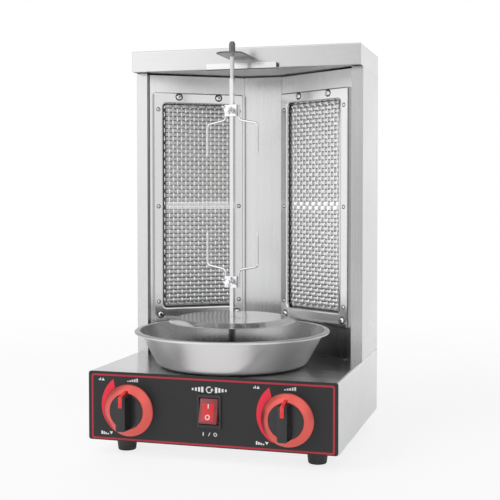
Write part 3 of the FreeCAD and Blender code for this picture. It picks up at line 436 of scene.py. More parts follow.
brushed("satin_steel", STEEL, 0.25, "x", spread=0.035, streak=0.015)
# The tower's upright sheets are darker towards the bottom: painted shade.
brushed("satin_upright", grey(0.58), 0.25, "z", streak=0.03, painted_shade=(0.9, DECK, DECK + 330))
brushed("bright_steel", BRIGHT, 0.20, "z", spread=0.03, streak=0.03)
# The burner walls are darkened low down to under half their colour: painted shade standing in for the dark
# pan reflected there.
brushed("wall_steel", grey(0.77, -0.005), 0.3, "z", spread=0.03, streak=0.03,
        painted_shade=(0.45, DECK + 22, DECK + 52))
brushed("frame_steel", BRIGHT, 0.17, "x", spread=0.03, streak=0.02, edge=0.7)
brushed("reflector_steel", BRIGHT, 0.25, "z", spread=0.03, streak=0.04, depth=0.003)
spun("mirror_steel", grey(0.57), 0.15, AXIS, 0.02, 0.002, 0.3)
spun("pan_steel", grey(0.64), 0.42, AXIS, 0.04, 0.006, 0.25)
# A darker copy of the pan's steel for its upward inner faces: painted shade.
spun("pan_inside_painted_shade", grey(0.32), 0.28, AXIS, 0.04, 0.006, 0.4)
moulded("wire_mesh", grey(0.72), 0.38, 0.8, 0.02, lift=1.1, **METAL)
# The polished steel cap nut is painted near black: a painted reflection standing in for the dark stripe it
# reflects.
moulded("nut_steel_painted_reflection", grey(0.16, 0.003), 0.12, 0.5, 0.002, lift=1.05, **METAL)
# The stainless bracket's colour is kept very dark: painted shade.
brushed("bracket_steel_painted_shade", grey(0.15, 0.004), 0.25, "x")
# The rail's lowest millimetre is darkened to near black: a painted shadow line under its edge.
brushed("rail_steel", grey(0.75), 0.2, "x", edge=0.3, painted_shade=(0.06, RAIL + 0.8, RAIL + 1.4))
# The cap's steel liner is painted dark: painted shade on the cap's underside.
brushed("liner_steel_painted_shade", grey(0.25, 0.004), 0.3, "x")
brushed("spit_steel", grey(0.58), 0.12, "z", spread=0.02, streak=0.02, edge=0.35)
moulded("fork_steel", grey(0.68, 0.01), 0.12, 0.5, 0.002, lift=1.05, **METAL)
moulded("screw_steel", grey(0.8, 0.01), 0.14, 0.5, 0.002, lift=1.05, **METAL)
# Near black for the screws' cross recesses: painted shade inside them.
moulded("recess", grey(0.012, 0), 0.6, 0.3, 0.002)
moulded("black_panel", grey(0.012, 0.001), 0.42, 0.4, 0.004, 0.4, Specular_IOR_Level=0.36)
moulded("black_plastic", grey(0.012, 0.001), 0.22, 0.25, 0.002)
spun("red_ring", (0.64, 0.115, 0.1), 0.34, (0, 0), 0.05, 0.006, 0.5)
moulded("red_mark", (0.62, 0.02, 0.022), 0.3, 0.3, 0.002)
moulded("print_red", (0.68, 0.022, 0.05), 0.45, 0.3, 0.002, **PRINTED)
moulded("print_line", (0.36, 0.02, 0.036), 0.45, 0.3, 0.002, **PRINTED)
moulded("print_white", grey(0.6, 0), 0.5, 0.3, 0.002, lift=1.05)
moulded("rocker_red", (0.17, 0.006, 0.012), 0.2, 0.4, 0.002, Coat_Weight=0.6, Coat_Roughness=0.1)
moulded("rocker_lit", (0.5, 0.008, 0.014), 0.25, 0.4, 0.002, lift=1.05)
moulded("rubber", grey(0.018, 0.001), 0.6, 0.5, 0.02)
moulded("brass", (0.72, 0.52, 0.24), 0.25, 0.6, 0.006, 0.3, lift=1.1, **METAL)
moulded("pipe", grey(0.75, 0.01), 0.3, 0.6, 0.006, lift=1.1, **METAL)
moulded("mixing_steel", grey(0.5, 0.01), 0.4, 0.8, 0.01, lift=1.15, **METAL)
moulded("motor_case", grey(0.09), 0.45, 0.5, 0.01, 0.4)

WIRE_ROUGHNESS = {"wire": 0.4, "wire_seam": 0.2, "screen": 0.5, "wire_warp": 0.35}
# The wire looks are one steel, lighter or darker per burner and per kind of wire: painted light and shade
# for how each burner faces the light, and painted highlights on the warp wires and on the rows by the seam.
WIRE_PAINTED_LIGHT = {"left": (0.48, 0.62, 0.2, 0.85), "right": (0.74, 0.9, 0.45, 0.97)}
for side, painted_levels in WIRE_PAINTED_LIGHT.items():
    ceramic(side)
    for (name, roughness), bright in zip(WIRE_ROUGHNESS.items(), painted_levels):
        moulded(f"{name}_{side}", grey(bright, 0), roughness, 0.8, 0.02, lift=1.05, **METAL)

# These are left out of reflections, so that they don't redden the metal and the panel round them.
UNREFLECTED = ("red_ring", "print_red", "print_line")


def paint(obj, *names):
    """Give an object these looks in place of its own."""
    # A new mesh isn't cleared, because that would forget which look each of its faces has.
    if obj.data.materials:
        obj.data.materials.clear()
    for name in names:
        obj.data.materials.append(looks[name])


def piece(name, bm, at, look, body, slot, *nodes, sharp=35):
    """Make a piece with its look or looks, its body and the CAD nodes that it stands for. The slot argument
    is not used.
    """
    obj = make_object(name, bm, at, sharp)
    paint(obj, *([look] if isinstance(look, str) else look))
    obj.visible_glossy = look not in UNREFLECTED
    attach(obj, body)
    if nodes:
        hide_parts(*nodes)
    return obj


def paint_frame():
    """Every CAD node gets the finish of its slot, or a variant with the grain the right way, several of
    which also carry painted shade.
    """
    own = {
        "top_cap": "satin_steel", "tower_back_cover": "satin_upright", "back_reflector": "reflector_steel",
        "base_back_panel": "satin_steel", "fork_upper": "fork_steel", "fork_lower": "fork_steel",
        "spit_bracket": "bracket_steel_painted_shade", "bracket_rail": "rail_steel", "cap_liner": "liner_steel_painted_shade",
    }
    for side in SIDES:
        own[f"tower_side_{side}"] = "satin_upright"
        own[f"inner_wall_{side}"] = "wall_steel"
        own[f"burner_plaques_{side}"] = f"ceramic_{side}"
    for part in frame["record"]["subparts"]:
        node = part["node"]
        paint(frame["nodes"][node], own.get(node, part["material_slot"]))


# ---------------------------------------------------------------- burners

FRAME_HALF, FRAME_LOW, FRAME_HIGH, FRAME_FACE = 63.5, 145, 458, -6
OPENING_HALF, OPENING_LOW, OPENING_HIGH = 51.5, 163, 445
RIM_WIDE = 0.8
WINDOW_HALF = OPENING_HALF - RIM_WIDE
WINDOW_LOW, WINDOW_HIGH = OPENING_LOW + RIM_WIDE, OPENING_HIGH - RIM_WIDE
WINDOW_FOOT, WINDOW_HEAD = math.ceil(WINDOW_LOW) + 1, math.floor(WINDOW_HIGH) - 1
WARP_PITCH, WEFT_PITCH = 5.9, 5.55
CLOTH_DEPTH, WARP_CRIMP, WEFT_CRIMP = -2.0, 0.8, 0.3
CURL_WIDE, CURL_DEEP = 7, 5.5
SEAM_Z = (WINDOW_LOW + WINDOW_HIGH) / 2


def cloth_depth(x, z):
    """How far behind the wall's face the cloth lies: it curls back to its edge under the frame."""
    inside = min(WINDOW_HALF - abs(x), z - WINDOW_LOW, WINDOW_HIGH - z)
    t = min(1.0, max(0.0, 1 - inside / CURL_WIDE))
    return CLOTH_DEPTH + CURL_DEEP * t * t * (3 - 2 * t)


def add_wire(bm, points, across, half_across, half_deep, sides, look):
    """A wire with an oval section: half_across along one direction, half_deep front to back."""
    angles = [2 * math.pi * i / sides for i in range(sides)]
    wide = [across * (half_across * math.cos(a)) for a in angles]
    deep = [Vector((0, half_deep * math.sin(a), 0)) for a in angles]
    rings = [add_verts(bm, [point + w + d for w, d in zip(wide, deep)]) for point in points]
    for a, b in zip(rings, rings[1:]):
        join_loops(bm, a, b, look)
    bm.faces.new(rings[0]).material_index = look
    bm.faces.new(rings[-1][::-1]).material_index = look


def make_cloth(side):
    """Woven wire cloth: round warp wires up and down, flattened weft wires across."""
    bm = bmesh.new()
    margin = 3.0
    columns = int((WINDOW_HALF + margin) / WARP_PITCH)
    rows = int((WINDOW_HIGH - WINDOW_LOW) / 2 / WEFT_PITCH)
    chance = random.Random(7)
    steps = 4
    right, up = Vector((1, 0, 0)), Vector((0, 0, 1))
    for i in range(-columns, columns + 1):
        x = i * WARP_PITCH + chance.uniform(-0.15, 0.15)
        points = []
        for k in range(-rows * steps, rows * steps + 1):
            z = SEAM_Z + (k / steps + 0.5) * WEFT_PITCH
            lean = 0.2 * math.sin(z * 0.021 + i * 0.7)
            wave = -WARP_CRIMP * math.cos(math.pi * (k / steps + i))
            points.append(Vector((x + lean, cloth_depth(x, z) + wave, z)))
        # The warp wires take the lightest look: painted highlights.
        add_wire(bm, points, right, 1.0, 0.5, 6, 2)
    for j in range(-rows, rows + 1):
        z0 = SEAM_Z + (j + 0.5) * WEFT_PITCH
        if z0 > WINDOW_HIGH + margin:
            continue
        # Rows by the seam take the lighter seam look: a painted highlight.
        look = 1 if abs(z0 - SEAM_Z) < WEFT_PITCH else 0
        points = []
        for k in range(-columns * steps - 2, columns * steps + 3):
            x = k / steps * WARP_PITCH
            z = z0 + 0.15 * math.sin(x * 0.06 + j * 1.3)
            wave = WEFT_CRIMP * math.cos(math.pi * (k / steps + j))
            points.append(Vector((x, cloth_depth(x, z) + wave, z)))
        add_wire(bm, points, up, 2.6 if look else 2.2, 0.42, 8, look)
    wires = (f"wire_{side}", f"wire_seam_{side}", f"wire_warp_{side}")
    piece(f"burner_cloth_{side}", bm, on_wall(side), wires, "oven", "wire_mesh",
          f"burner_mesh_{side}", sharp=60)


def make_screen(side):
    """Fine screen that follows close behind the cloth and curls back with it."""
    bm = bmesh.new()
    gap = 1.5
    xs = [x * 0.5 for x in range(-94, 95) if abs(x) > 80 or x % 20 == 0]
    zs = [z for z in range(WINDOW_FOOT, WINDOW_HEAD + 1)
          if min(z - WINDOW_FOOT, WINDOW_HEAD - z) < 8 or z % 20 == 0]
    grid = [add_verts(bm, [(x, cloth_depth(x, z) + gap, z) for x in xs]) for z in zs]
    for a, b in zip(grid, grid[1:]):
        join_loops(bm, a, b, closed=False)
    # The screen's look is darker on the left burner than the right: painted shade.
    piece(f"burner_screen_{side}", bm, on_wall(side), f"screen_{side}", "oven", "wire_mesh")


def rounded_loop(half, low_z, high_z, corner, y):
    """A rounded rectangle of points, always the same number, standing at depth y."""
    loop = soften(rectangle(half, (high_z - low_z) / 2, 0, (high_z + low_z) / 2), corner, 6, True)
    return [(x, y, z) for x, z in loop]


def make_burner_frame(side):
    """Pressed frame: lipped outer edge, flat face, and a window whose edge rolls back to the cloth."""
    outer = [(1, 3), (0, 3), (0, 2.2), (0, FRAME_FACE + 1.8), (0, FRAME_FACE + 1), (0.3, FRAME_FACE + 0.3),
             (1, FRAME_FACE), (1.8, FRAME_FACE)]
    inner = [(-1.6, 0), (-0.8, 0), (0, 0.15), (0.6, 0.6), (RIM_WIDE, 1.2), (RIM_WIDE, 2), (RIM_WIDE, 3.6),
             (RIM_WIDE - 0.9, 3.6), (RIM_WIDE - 0.9, 2.4), (-1, 1.2)]
    made = [rounded_loop(FRAME_HALF - inset, FRAME_LOW + inset, FRAME_HIGH - inset, 3 - inset * 0.6, y)
            for inset, y in outer]
    made += [rounded_loop(OPENING_HALF - inset, OPENING_LOW + inset, OPENING_HIGH - inset, 7 - inset * 0.6,
                          FRAME_FACE + y) for inset, y in inner]
    made.append(rounded_loop(FRAME_HALF - 1, FRAME_LOW + 1, FRAME_HIGH - 1, 2, FRAME_FACE + 1.2))
    bm = bmesh.new()
    loops = [add_verts(bm, loop) for loop in made]
    for a, b in zip(loops, loops[1:] + loops[:1]):
        join_loops(bm, a, b)
    piece(f"pressed_frame_{side}", bm, on_wall(side), "frame_steel", "oven", "bright_steel",
          f"burner_frame_{side}", sharp=40)


def make_hem(side):
    """Flat hem along the outer edge of a cloth, which shows inside its window."""
    bm = bmesh.new()
    add_block(bm, (46.2, -4.4, WINDOW_LOW + 1), (WINDOW_HALF + 0.2, -3.4, WINDOW_HIGH - 1), HERE, 0.45, 2)
    piece(f"cloth_hem_{side}", bm, on_wall(side), "frame_steel", "oven", "bright_steel")


def make_seam_strip(side):
    """Bright folded strip that holds the two plaques apart, behind the cloth."""
    bm = bmesh.new()
    front = CLOTH_DEPTH + 1.2
    section = soften([(front + 3, -5), (front, -4.2), (front, 4.2), (front + 3, 5), (front + 2.4, 3.6),
                      (front + 0.8, 3.2), (front + 0.8, -3.2), (front + 2.4, -3.6)], 0.3, 2, True)
    half_long = 46
    across = moved(-half_long, 0, SEAM_Z) @ turned(math.pi / 2) @ TO_FRONT
    add_prism(bm, section, 0, 2 * half_long, across)
    # The strip takes the seam look, darker on the left burner than the right: painted shade.
    piece(f"plaque_strip_{side}", bm, on_wall(side), f"wire_seam_{side}", "oven", "bright_steel")


# The second look darkens the recesses: painted shade.
SCREW_LOOKS = ("screw_steel", "recess")


def cross_outline(arm, half_wide):
    """Outline of a cross-point recess."""
    points = []
    for quarter in range(4):
        a = quarter * math.pi / 2
        for x, y in ((arm, -half_wide), (arm, half_wide), (half_wide, half_wide)):
            points.append((x * math.cos(a) - y * math.sin(a), x * math.sin(a) + y * math.cos(a)))
    return points


def add_screw_head(bm, radius, tall, at):
    """Domed head with a cross recess in a second look, near black as painted shade. Its own z points out of
    the head.
    """
    flat = radius * 0.52
    around = 24
    profile = [(radius, 0), (radius, tall * 0.2)]
    for k in range(1, 7):
        t = k / 6
        profile.append((radius + (flat - radius) * t, tall * (0.2 + 0.8 * math.sin(t * math.pi / 2))))
    add_lathe(bm, profile, at, around)
    rim = add_verts(bm, [(x, y, tall) for x, y in circle(flat, around)], at)
    cross = cross_outline(flat * 0.9, flat * 0.25)
    top = add_verts(bm, [(x, y, tall) for x, y in cross], at)
    floor = add_verts(bm, [(x * 0.75, y * 0.75, tall - radius * 0.32) for x, y in cross], at)
    edges = []
    for loop in (rim, top):
        edges += [bm.edges.new((loop[i], loop[(i + 1) % len(loop)])) for i in range(len(loop))]
    bmesh.ops.triangle_fill(bm, use_beauty=True, edges=edges)
    join_loops(bm, top, floor, 1)
    bm.faces.new(floor).material_index = 1


def make_frame_screws(side):
    """Large screws along the frame's top and bottom, small ones down its sides, with thin dark rings round
    all as painted shadow.
    """
    places = [(x, FRAME_HIGH - 5.5, 4) for x in (-28, 28)]
    places += [(x, FRAME_LOW + 10, 4) for x in (-54.5, 54.5)]
    places += [(x, z, 2.2) for x in (-57, 57) for z in (OPENING_HIGH - 10, SEAM_Z - 1, OPENING_LOW + 9.5)]
    bm = bmesh.new()
    chance = random.Random(3)
    for x, z, radius in places:
        at = moved(x, FRAME_FACE, z) @ TO_FRONT @ turned(chance.uniform(0, 1.5))
        add_screw_head(bm, radius, radius * 0.65, at)
    piece(f"frame_screws_{side}", bm, on_wall(side), SCREW_LOOKS, "oven", "screw_steel",
          f"burner_screws_{side}")
    # Thin black rings on the frame's face round each head: painted shadow where the head meets the frame.
    bm = bmesh.new()
    for x, z, radius in places:
        ring = [(radius * 0.9, 0), (radius * 1.3, 0), (radius * 1.3, 0.06), (radius * 0.9, 0.06)]
        add_lathe(bm, ring, moved(x, FRAME_FACE, z) @ TO_FRONT, 24, True)
    piece(f"screw_shadow_rings_{side}", bm, on_wall(side), "black_panel", "oven", "screw_steel")


# ---------------------------------------------------------------- spit, plate and pan

def make_cap_nut():
    """Domed nut on the spit's tip."""
    start = low("spit_cap_nut").z
    tall = high("spit_cap_nut").z - start
    outline = soften([(2.1, 0), (4.0, 0, 0.5), (4.0, tall - 3.6, 0.8), (2.5, tall, 0.9), (0, tall)], 0.5)
    piece("cap_nut_dome", lathe(outline, 48), on_spit(start), "nut_steel_painted_reflection", "cap_nut", "spit_steel",
          "spit_cap_nut")


def make_wing_screw(place):
    """Clamping screw: a turned boss, a neck into the hub, and two rounded wings."""
    hub_face, foot = 4.75, 2.8
    bm = bmesh.new()
    boss = soften([(0, foot), (1.85, foot), (1.85, hub_face + 6.4), (3.3, hub_face + 6.4, 0.5),
                   (3.8, hub_face + 10.5, 0.8), (0, hub_face + 10.5)], 0.2)
    add_lathe(bm, boss, TO_FRONT, 32)
    wing = soften([(1.2, hub_face + 7.0), (4.6, hub_face + 7.6), (7.4, hub_face + 9.2, 1.6),
                   (7.4, hub_face + 13.2, 1.8), (4.6, hub_face + 14.4, 1.6), (2.4, hub_face + 10.4, 1.0),
                   (1.2, hub_face + 10.2)], 0.8, 4, True)
    for lean in (45, 225):
        add_prism(bm, wing, -1.1, 1.1, turned(math.radians(lean), "Y") @ DOWNWARD, 0.7, 2)
    node = f"wing_screw_{place}"
    piece(f"{place}_wing_screw", bm, on_spit(centre_of(node).z), "screw_steel", node, "spit_steel", node)


def make_plate():
    """Turned plate under the meat: a flat top, a sloping rim with a rolled edge, and a hub."""
    top, sheet = high("meat_disc").z, 0.9
    rim, flat, hub = 80.5, 68, 9
    edge = low("meat_disc").z + 3.6
    outline = soften([
        (3.6, top), (flat, top, 3), (rim - 0.9, edge + sheet, 0.6), (rim, edge + 0.5, 0.45),
        (rim - 0.6, edge, 0.4), (flat - 0.6, top - sheet, 2.5), (hub, top - sheet, 0.8), (hub, top - 9),
        (3.6, top - 9)], 0.4, 6, True)
    plate = piece("meat_plate", lathe(outline, 144, True), moved(*AXIS), ("mirror_steel", "screw_steel"),
                  "spit", "mirror_steel", "meat_disc")
    # The rolled edge takes the brighter screw steel: a painted highlight round the rim.
    for face in plate.data.polygons:
        face.material_index = 1 if face.center.xy.length > (rim - 1.6) * MM else 0


def make_pan():
    """Drip pan: flat floor, flared wall, rolled rim, and a collar round the drive shaft."""
    floor, rim = low("drip_pan").z, high("drip_pan").z
    sheet = 0.9
    outline = soften([
        (13.1, floor + 22, 0.4), (13.1, floor, 1.5), (93.3, floor, 15), (116.4, rim - 1.6, 1.2),
        (120.6, rim - 1.5, 1.0), (121.4, rim - 3.2, 0.5), (122.6, rim - 3.4, 0.5), (123.4, rim - 1.6, 1.2),
        (121.8, rim, 1.2), (116.2, rim, 1.6), (92.6, floor + sheet, 14.2), (14.0, floor + sheet, 1.2),
        (14.0, floor + 22, 0.4)], 0.5, 7, True)
    pan = piece("spun_pan", lathe(outline, 192, True), moved(*AXIS), ("pan_steel", "pan_inside_painted_shade"),
                "pan", "pan_steel", "drip_pan")
    # Upward faces inside the rim take the darker copy: painted shade inside the pan.
    for face in pan.data.polygons:
        face.material_index = 1 if face.normal.z > 0.2 and face.center.xy.length < 116.5 * MM else 0


# ---------------------------------------------------------------- controls

GRIP_HALF_WIDE, GRIP_HALF_LONG = 7, 20.5
CORE_R, CORE_FRONT, GRIP_FRONT = 20.9, 19, 36.7


def make_knob(side):
    """Gas control: a round core with a grip bar, a spun red skirt, and a red pointer."""
    at = on_panel(SIDES[side] * KNOB[0], KNOB[1])
    body = f"knob_{side}"

    bm = bmesh.new()
    bar = soften(rectangle(GRIP_HALF_WIDE, GRIP_HALF_LONG), 1.8, 4, True)
    add_prism(bm, bar, CORE_FRONT - 4, GRIP_FRONT, HERE, 0.9, 3, True)
    for vert in bm.verts:
        vert.co.x *= 1.07 - 0.25 * max(0, vert.co.z - CORE_FRONT) / (GRIP_FRONT - CORE_FRONT)
    add_lathe(bm, soften([(3.2, 5), (CORE_R, 5, 0.4), (CORE_R, CORE_FRONT, 1.6), (0, CORE_FRONT)], 0.4))
    piece(f"grip_{side}", bm, at, "black_plastic", body, "black_plastic", f"knob_{side}")

    skirt = soften([
        (21.0, 10.4), (24.6, 10.4), (28.4, 10.2, 0.6), (30.6, 9.9, 0.5), (31.5, 10.9, 0.7),
        (30.4, 12.3, 1.2), (26.5, 15.9, 8), (22.2, 18.9, 0.8), (21.0, 18.9, 0.4)], 0.5, 5, True)
    piece(f"skirt_{side}", lathe(skirt, 128, True), at, "red_ring", body, "red_ring", f"knob_ring_{side}")

    bm = bmesh.new()
    half, proud = 2.25, GRIP_FRONT + 0.3
    side_view = [(7.6, proud - 0.9), (7.6, proud), (GRIP_HALF_LONG + 0.3, proud - 0.1), (25.2, 18.6),
                 (24.6, 16.8), (GRIP_HALF_LONG - 2.5, 17.5), (GRIP_HALF_LONG - 2.5, proud - 0.9)]
    widths = [half, half, half, 1.7, 1.7, 2.0, half]
    sides = [add_verts(bm, [(w * s, y, z) for (y, z), w in zip(side_view, widths)]) for s in (-1, 1)]
    bm.faces.new(sides[0])
    bm.faces.new(sides[1][::-1])
    for i in range(len(side_view)):
        j = (i + 1) % len(side_view)
        bm.faces.new((sides[0][i], sides[1][i], sides[1][j], sides[0][j]))
    bevel_edges(bm, bm.edges, 0.25, 2)
    piece(f"pointer_{side}", bm, at, "red_mark", body, "red_mark", f"knob_pointer_{side}")


def cut_outline(outline, lo, hi):
    """The part of a closed (y, z) outline between y = lo and y = hi, with level cuts."""
    for limit, side in ((lo, 1), (hi, -1)):
        kept = []
        for (y0, z0), (y1, z1) in zip(outline, outline[1:] + outline[:1]):
            inside = (y0 - limit) * side >= 0
            if inside:
                kept.append((y0, z0))
            if inside != ((y1 - limit) * side >= 0):
                t = (limit - y0) / (y1 - y0)
                kept.append((limit, z0 + t * (z1 - z0)))
        outline = kept
    return outline


def rounded_side(half, radius, steps=6):
    """Places across a block from side to side, with how far its outline draws in at each."""
    quarter = [k / steps * math.pi / 2 for k in range(steps + 1)]
    side = [(half - radius + radius * math.cos(a), radius * (1 - math.sin(a))) for a in quarter]
    return [(-x, inset) for x, inset in side] + [(x, inset) for x, inset in reversed(side)]


def make_rocker():
    """Red rocker: a dark lens with rounded edges, a bright centre, and I and O on its faces."""
    at = on_panel(0, SWITCH_Z)
    top, ridge, toe = (15.6, 1.5), (1.0, 4.4), (-12.9, 9.0)
    side_view = [(-15.1, 4.0, 0.8), (-14.5, -3.0), (14.9, -3.0), (*top, 1.4), (*ridge, 12), (*toe, 2.2)]

    def slab(name, half, lift, lo, hi, round_off, look, node):
        """A slice of the rocker between two heights, raised by lift."""
        bm = bmesh.new()
        outline = [(y, z + (lift if z > 0.5 else 0)) for y, z in soften(side_view, 0.4, 8, True)]
        clean = cut_outline(outline, lo, hi)
        foot, head = min(y for y, z in clean), max(y for y, z in clean)
        middle, span = (foot + head) / 2, head - foot
        rings = []
        for x, inset in rounded_side(half, round_off):
            squeeze = 1 - 2 * inset / span
            rings.append(add_verts(bm, [(x, middle + (y - middle) * squeeze, z - (inset if z > 0.5 else 0))
                                        for y, z in clean]))
        for a, b in zip(rings, rings[1:]):
            for i in range(len(clean)):
                j = (i + 1) % len(clean)
                bm.faces.new((a[i], b[i], b[j], a[j]))
        bm.faces.new(rings[0][::-1])
        bm.faces.new(rings[-1])
        piece(name, bm, at, look, "rocker", look, node)

    slab("rocker_lens", 11.8, 0, -16, 16, 2.2, "rocker_red", "rocker")
    slab("rocker_window", 7.2, 0.16, -10.2, 9.8, 0.1, "rocker_lit", "rocker_core")

    def on_face(y, slope_from, slope_to):
        """A frame lying on one of the rocker's two faces at height y."""
        t = (y - slope_from[0]) / (slope_to[0] - slope_from[0])
        z = slope_from[1] + t * (slope_to[1] - slope_from[1])
        tilt = math.atan((slope_to[1] - slope_from[1]) / (slope_to[0] - slope_from[0]))
        return moved(0, y, z + 0.17) @ turned(tilt, "X")

    bm = bmesh.new()
    add_block(bm, (-0.6, -2.6, 0), (0.6, 2.6, 0.15), on_face(6.4, ridge, top), 0.05, 1)
    circle = soften([(1.9, 0), (3.0, 0), (3.0, 0.15), (1.9, 0.15)], 0.04, 2, True)
    add_lathe(bm, circle, on_face(-6.0, ridge, toe), 40, True)
    piece("rocker_marks", bm, at, "print_white", "rocker", "rocker_lit")


# ---------------------------------------------------------------- printed panel

PRINT = 0.07


def add_band(bm, inner, outer):
    """A flat band of print between two matching outlines."""
    layers = [add_verts(bm, [(x, y, z) for x, y in line]) for line in (inner, outer) for z in (0, PRINT)]
    for i in range(len(inner)):
        j = (i + 1) % len(inner)
        inner_low, inner_high, outer_low, outer_high = [(layer[i], layer[j]) for layer in layers]
        bm.faces.new((*inner_high, *outer_high[::-1]))
        bm.faces.new((*outer_low, *outer_high[::-1]))
        bm.faces.new((*inner_low[::-1], *inner_high))


def add_ring_mark(bm, x, y, radius, wide, start=0, end=360):
    """A round line of print, or part of one."""
    inner, outer = [arc_points((x, y), radius + edge * wide / 2, start, end, 40) for edge in (-1, 1)]
    if end - start < 360:
        add_prism(bm, inner + outer[::-1], 0, PRINT)
    else:
        add_band(bm, inner[:-1], outer[:-1])


def make_border():
    """Red line all round the panel."""
    bm = bmesh.new()
    line, base = 2.1, low("fascia").z
    half_x, y0, y1 = 151.2, 1.3 + base, 80.9 + base
    middle, half_y = (y0 + y1) / 2, (y1 - y0) / 2
    outer = soften(rectangle(half_x, half_y, 0, middle), 3.2, 6, True)
    inner = soften(rectangle(half_x - line, half_y - line, 0, middle), 1.4, 6, True)
    add_band(bm, inner, outer)
    piece("panel_print_line", bm, on_panel(), "print_line", "oven", "red_mark")


def make_heat_marks():
    """The red crescent of heat round each knob."""
    bm = bmesh.new()
    for sign in SIDES.values():
        centre = (sign * KNOB[0], KNOB[1])
        steps, first, last = 44, 125.5, 252
        outline = []
        for k in range(steps + 1):
            t = k / steps
            radius = 42.4 - 5 * t - 2.3 * t * t - 24 * max(0, t - 0.86)
            a = math.radians(first + (last - first) * t)
            outline.append((centre[0] + radius * math.cos(a), centre[1] + radius * math.sin(a)))
        outline += arc_points(centre, 29.5, last, 136, 30)
        add_prism(bm, outline, 0, PRINT)
    piece("panel_print_red", bm, on_panel(), "print_red", "oven", "red_mark")


def add_triangle(bm, x, y, half_wide, tall):
    """A small solid arrow head. A negative height points it down."""
    outline = [(x - half_wide, y - tall / 2), (x + half_wide, y - tall / 2), (x, y + tall / 2)]
    add_prism(bm, outline if tall > 0 else outline[::-1], 0, PRINT)


def add_bar(bm, x, y, half_wide, half_tall):
    """A small solid rectangle."""
    add_prism(bm, rectangle(half_wide, half_tall, x, y), 0, PRINT)


def add_bars(bm, x, y, heights, pitch, half_wide):
    """A row of bars standing on one line, centred on x and y."""
    foot = y - max(heights) / 2
    first = x - pitch * (len(heights) - 1) / 2
    for k, tall in enumerate(heights):
        add_bar(bm, first + k * pitch, foot + tall / 2, half_wide, tall / 2)


def make_symbols():
    """Plain white symbols for heat up, heat down, heat level, turning and on or off."""
    bm = bmesh.new()
    upper, lower = 94.5, 29.2
    for sign in SIDES.values():
        x = sign * KNOB[0]
        add_bars(bm, x - 42.2, upper, (1.7, 3.2), 1.8, 0.6)
        add_triangle(bm, x - 38, upper, 2.0, 3.4)
        add_bars(bm, x + 0.5, upper + 0.3, (1.2, 2.0, 2.8, 3.5, 4.2), 3.0, 1.05)
        add_bars(bm, x - 35.6, lower, (4.2, 3.3, 2.4, 1.5), 2.7, 0.95)
        add_triangle(bm, x - 27.4, lower, 2.2, -3.6)
    turning = 88.3
    add_ring_mark(bm, 0, turning, 3.4, 1.3, 60, 360)
    add_triangle(bm, 3.4, turning + 0.8, 2.1, 3.0)
    for sign in SIDES.values():
        for k in range(4):
            add_bar(bm, sign * (8.6 + k * 4.0), turning, 1.45 - k * 0.15, 3.3 - k * 0.65)
    switching = 35.4
    add_bar(bm, -7.5, switching, 0.6, 2.1)
    add_prism(bm, rectangle(0.4, 2.3), 0, PRINT, moved(0, switching) @ turned(math.radians(-25)))
    add_ring_mark(bm, 7.5, switching, 1.8, 0.9)
    piece("panel_print_white", bm, on_panel(), "print_white", "oven", "red_mark")


# ---------------------------------------------------------------- feet and rear fittings

def make_feet():
    """Tapered rubber feet with a soft lower rim, a shallow waist ring, and a screw recess."""
    bm = bmesh.new()
    outline = soften([(2.1, 9), (5, 9, 0.4), (5, 0, 0.8), (11, 0, 1.8), (12.9, 15.4, 0.6), (12.5, 16, 0.3),
                      (12.5, 16.8, 0.3), (FOOT_R, 17.2, 0.5), (FOOT_R, 20, 0.3), (2.1, 20)], 0.3, 4, True)
    for x, y in FEET:
        add_lathe(bm, outline, moved(x, y), 56, True)
    piece("moulded_feet", bm, HERE, "rubber", "oven", "rubber", "rubber_feet")


def make_gas_fitting():
    """Gas inlet with its thread as ridges, and the hexagon that clamps it to the rear panel."""
    proud = high("gas_inlet").y - REAR
    bm = bmesh.new()
    outline = [(5.83, -16), (7.3, -16), (7.3, 3.2)]
    crest, root, pitch = 8.33, 7.6, 1.34
    start = 3.6
    while start + pitch < proud - 0.6:
        outline += [(root, start), (crest, start + pitch / 2)]
        start += pitch
    outline += [(root, proud - 0.5), (root - 0.5, proud), (5.83, proud)]
    outward = on_rear("gas_inlet")
    add_lathe(bm, outline, outward, 64, True)
    add_prism(bm, soften(circle(11.2, 6), 0.8, 2, True), 0.05, 3.4, outward, 0.5, 2)
    washer = soften([(7.3, -5.2), (12.2, -5.2), (12.2, -1.3), (7.3, -1.3)], 0.4, 2, True)
    add_lathe(bm, washer, outward, 48, True)
    piece("gas_fitting", bm, HERE, "brass", "oven", "brass", "gas_inlet", sharp=25)


def make_gland():
    """Cable gland: a clamped flange, a fluted dome nut, and the way through for a lead."""
    proud = high("cable_gland").y - REAR
    bm = bmesh.new()
    outward = on_rear("cable_gland")
    outline = soften([(3.5, -13), (5.9, -13), (5.9, -5.2), (8, -5.2), (8, -1.2), (5.9, -1.2), (5.9, 0),
                      (8, 0, 0.3), (8, 2.2, 0.4), (7.2, 2.6), (7.2, proud - 3, 0.6), (5.4, proud, 1.2),
                      (3.5, proud, 0.4)], 0.2, 3, True)
    add_lathe(bm, outline, outward, 60, True)
    for k in range(12):
        flute = turned(k * math.pi / 6)
        add_block(bm, (6.8, -0.9, 2.9), (7.8, 0.9, proud - 3.6), outward @ flute, 0.35, 2)
    piece("fluted_gland", bm, HERE, "black_plastic", "oven", "black_plastic", "cable_gland")


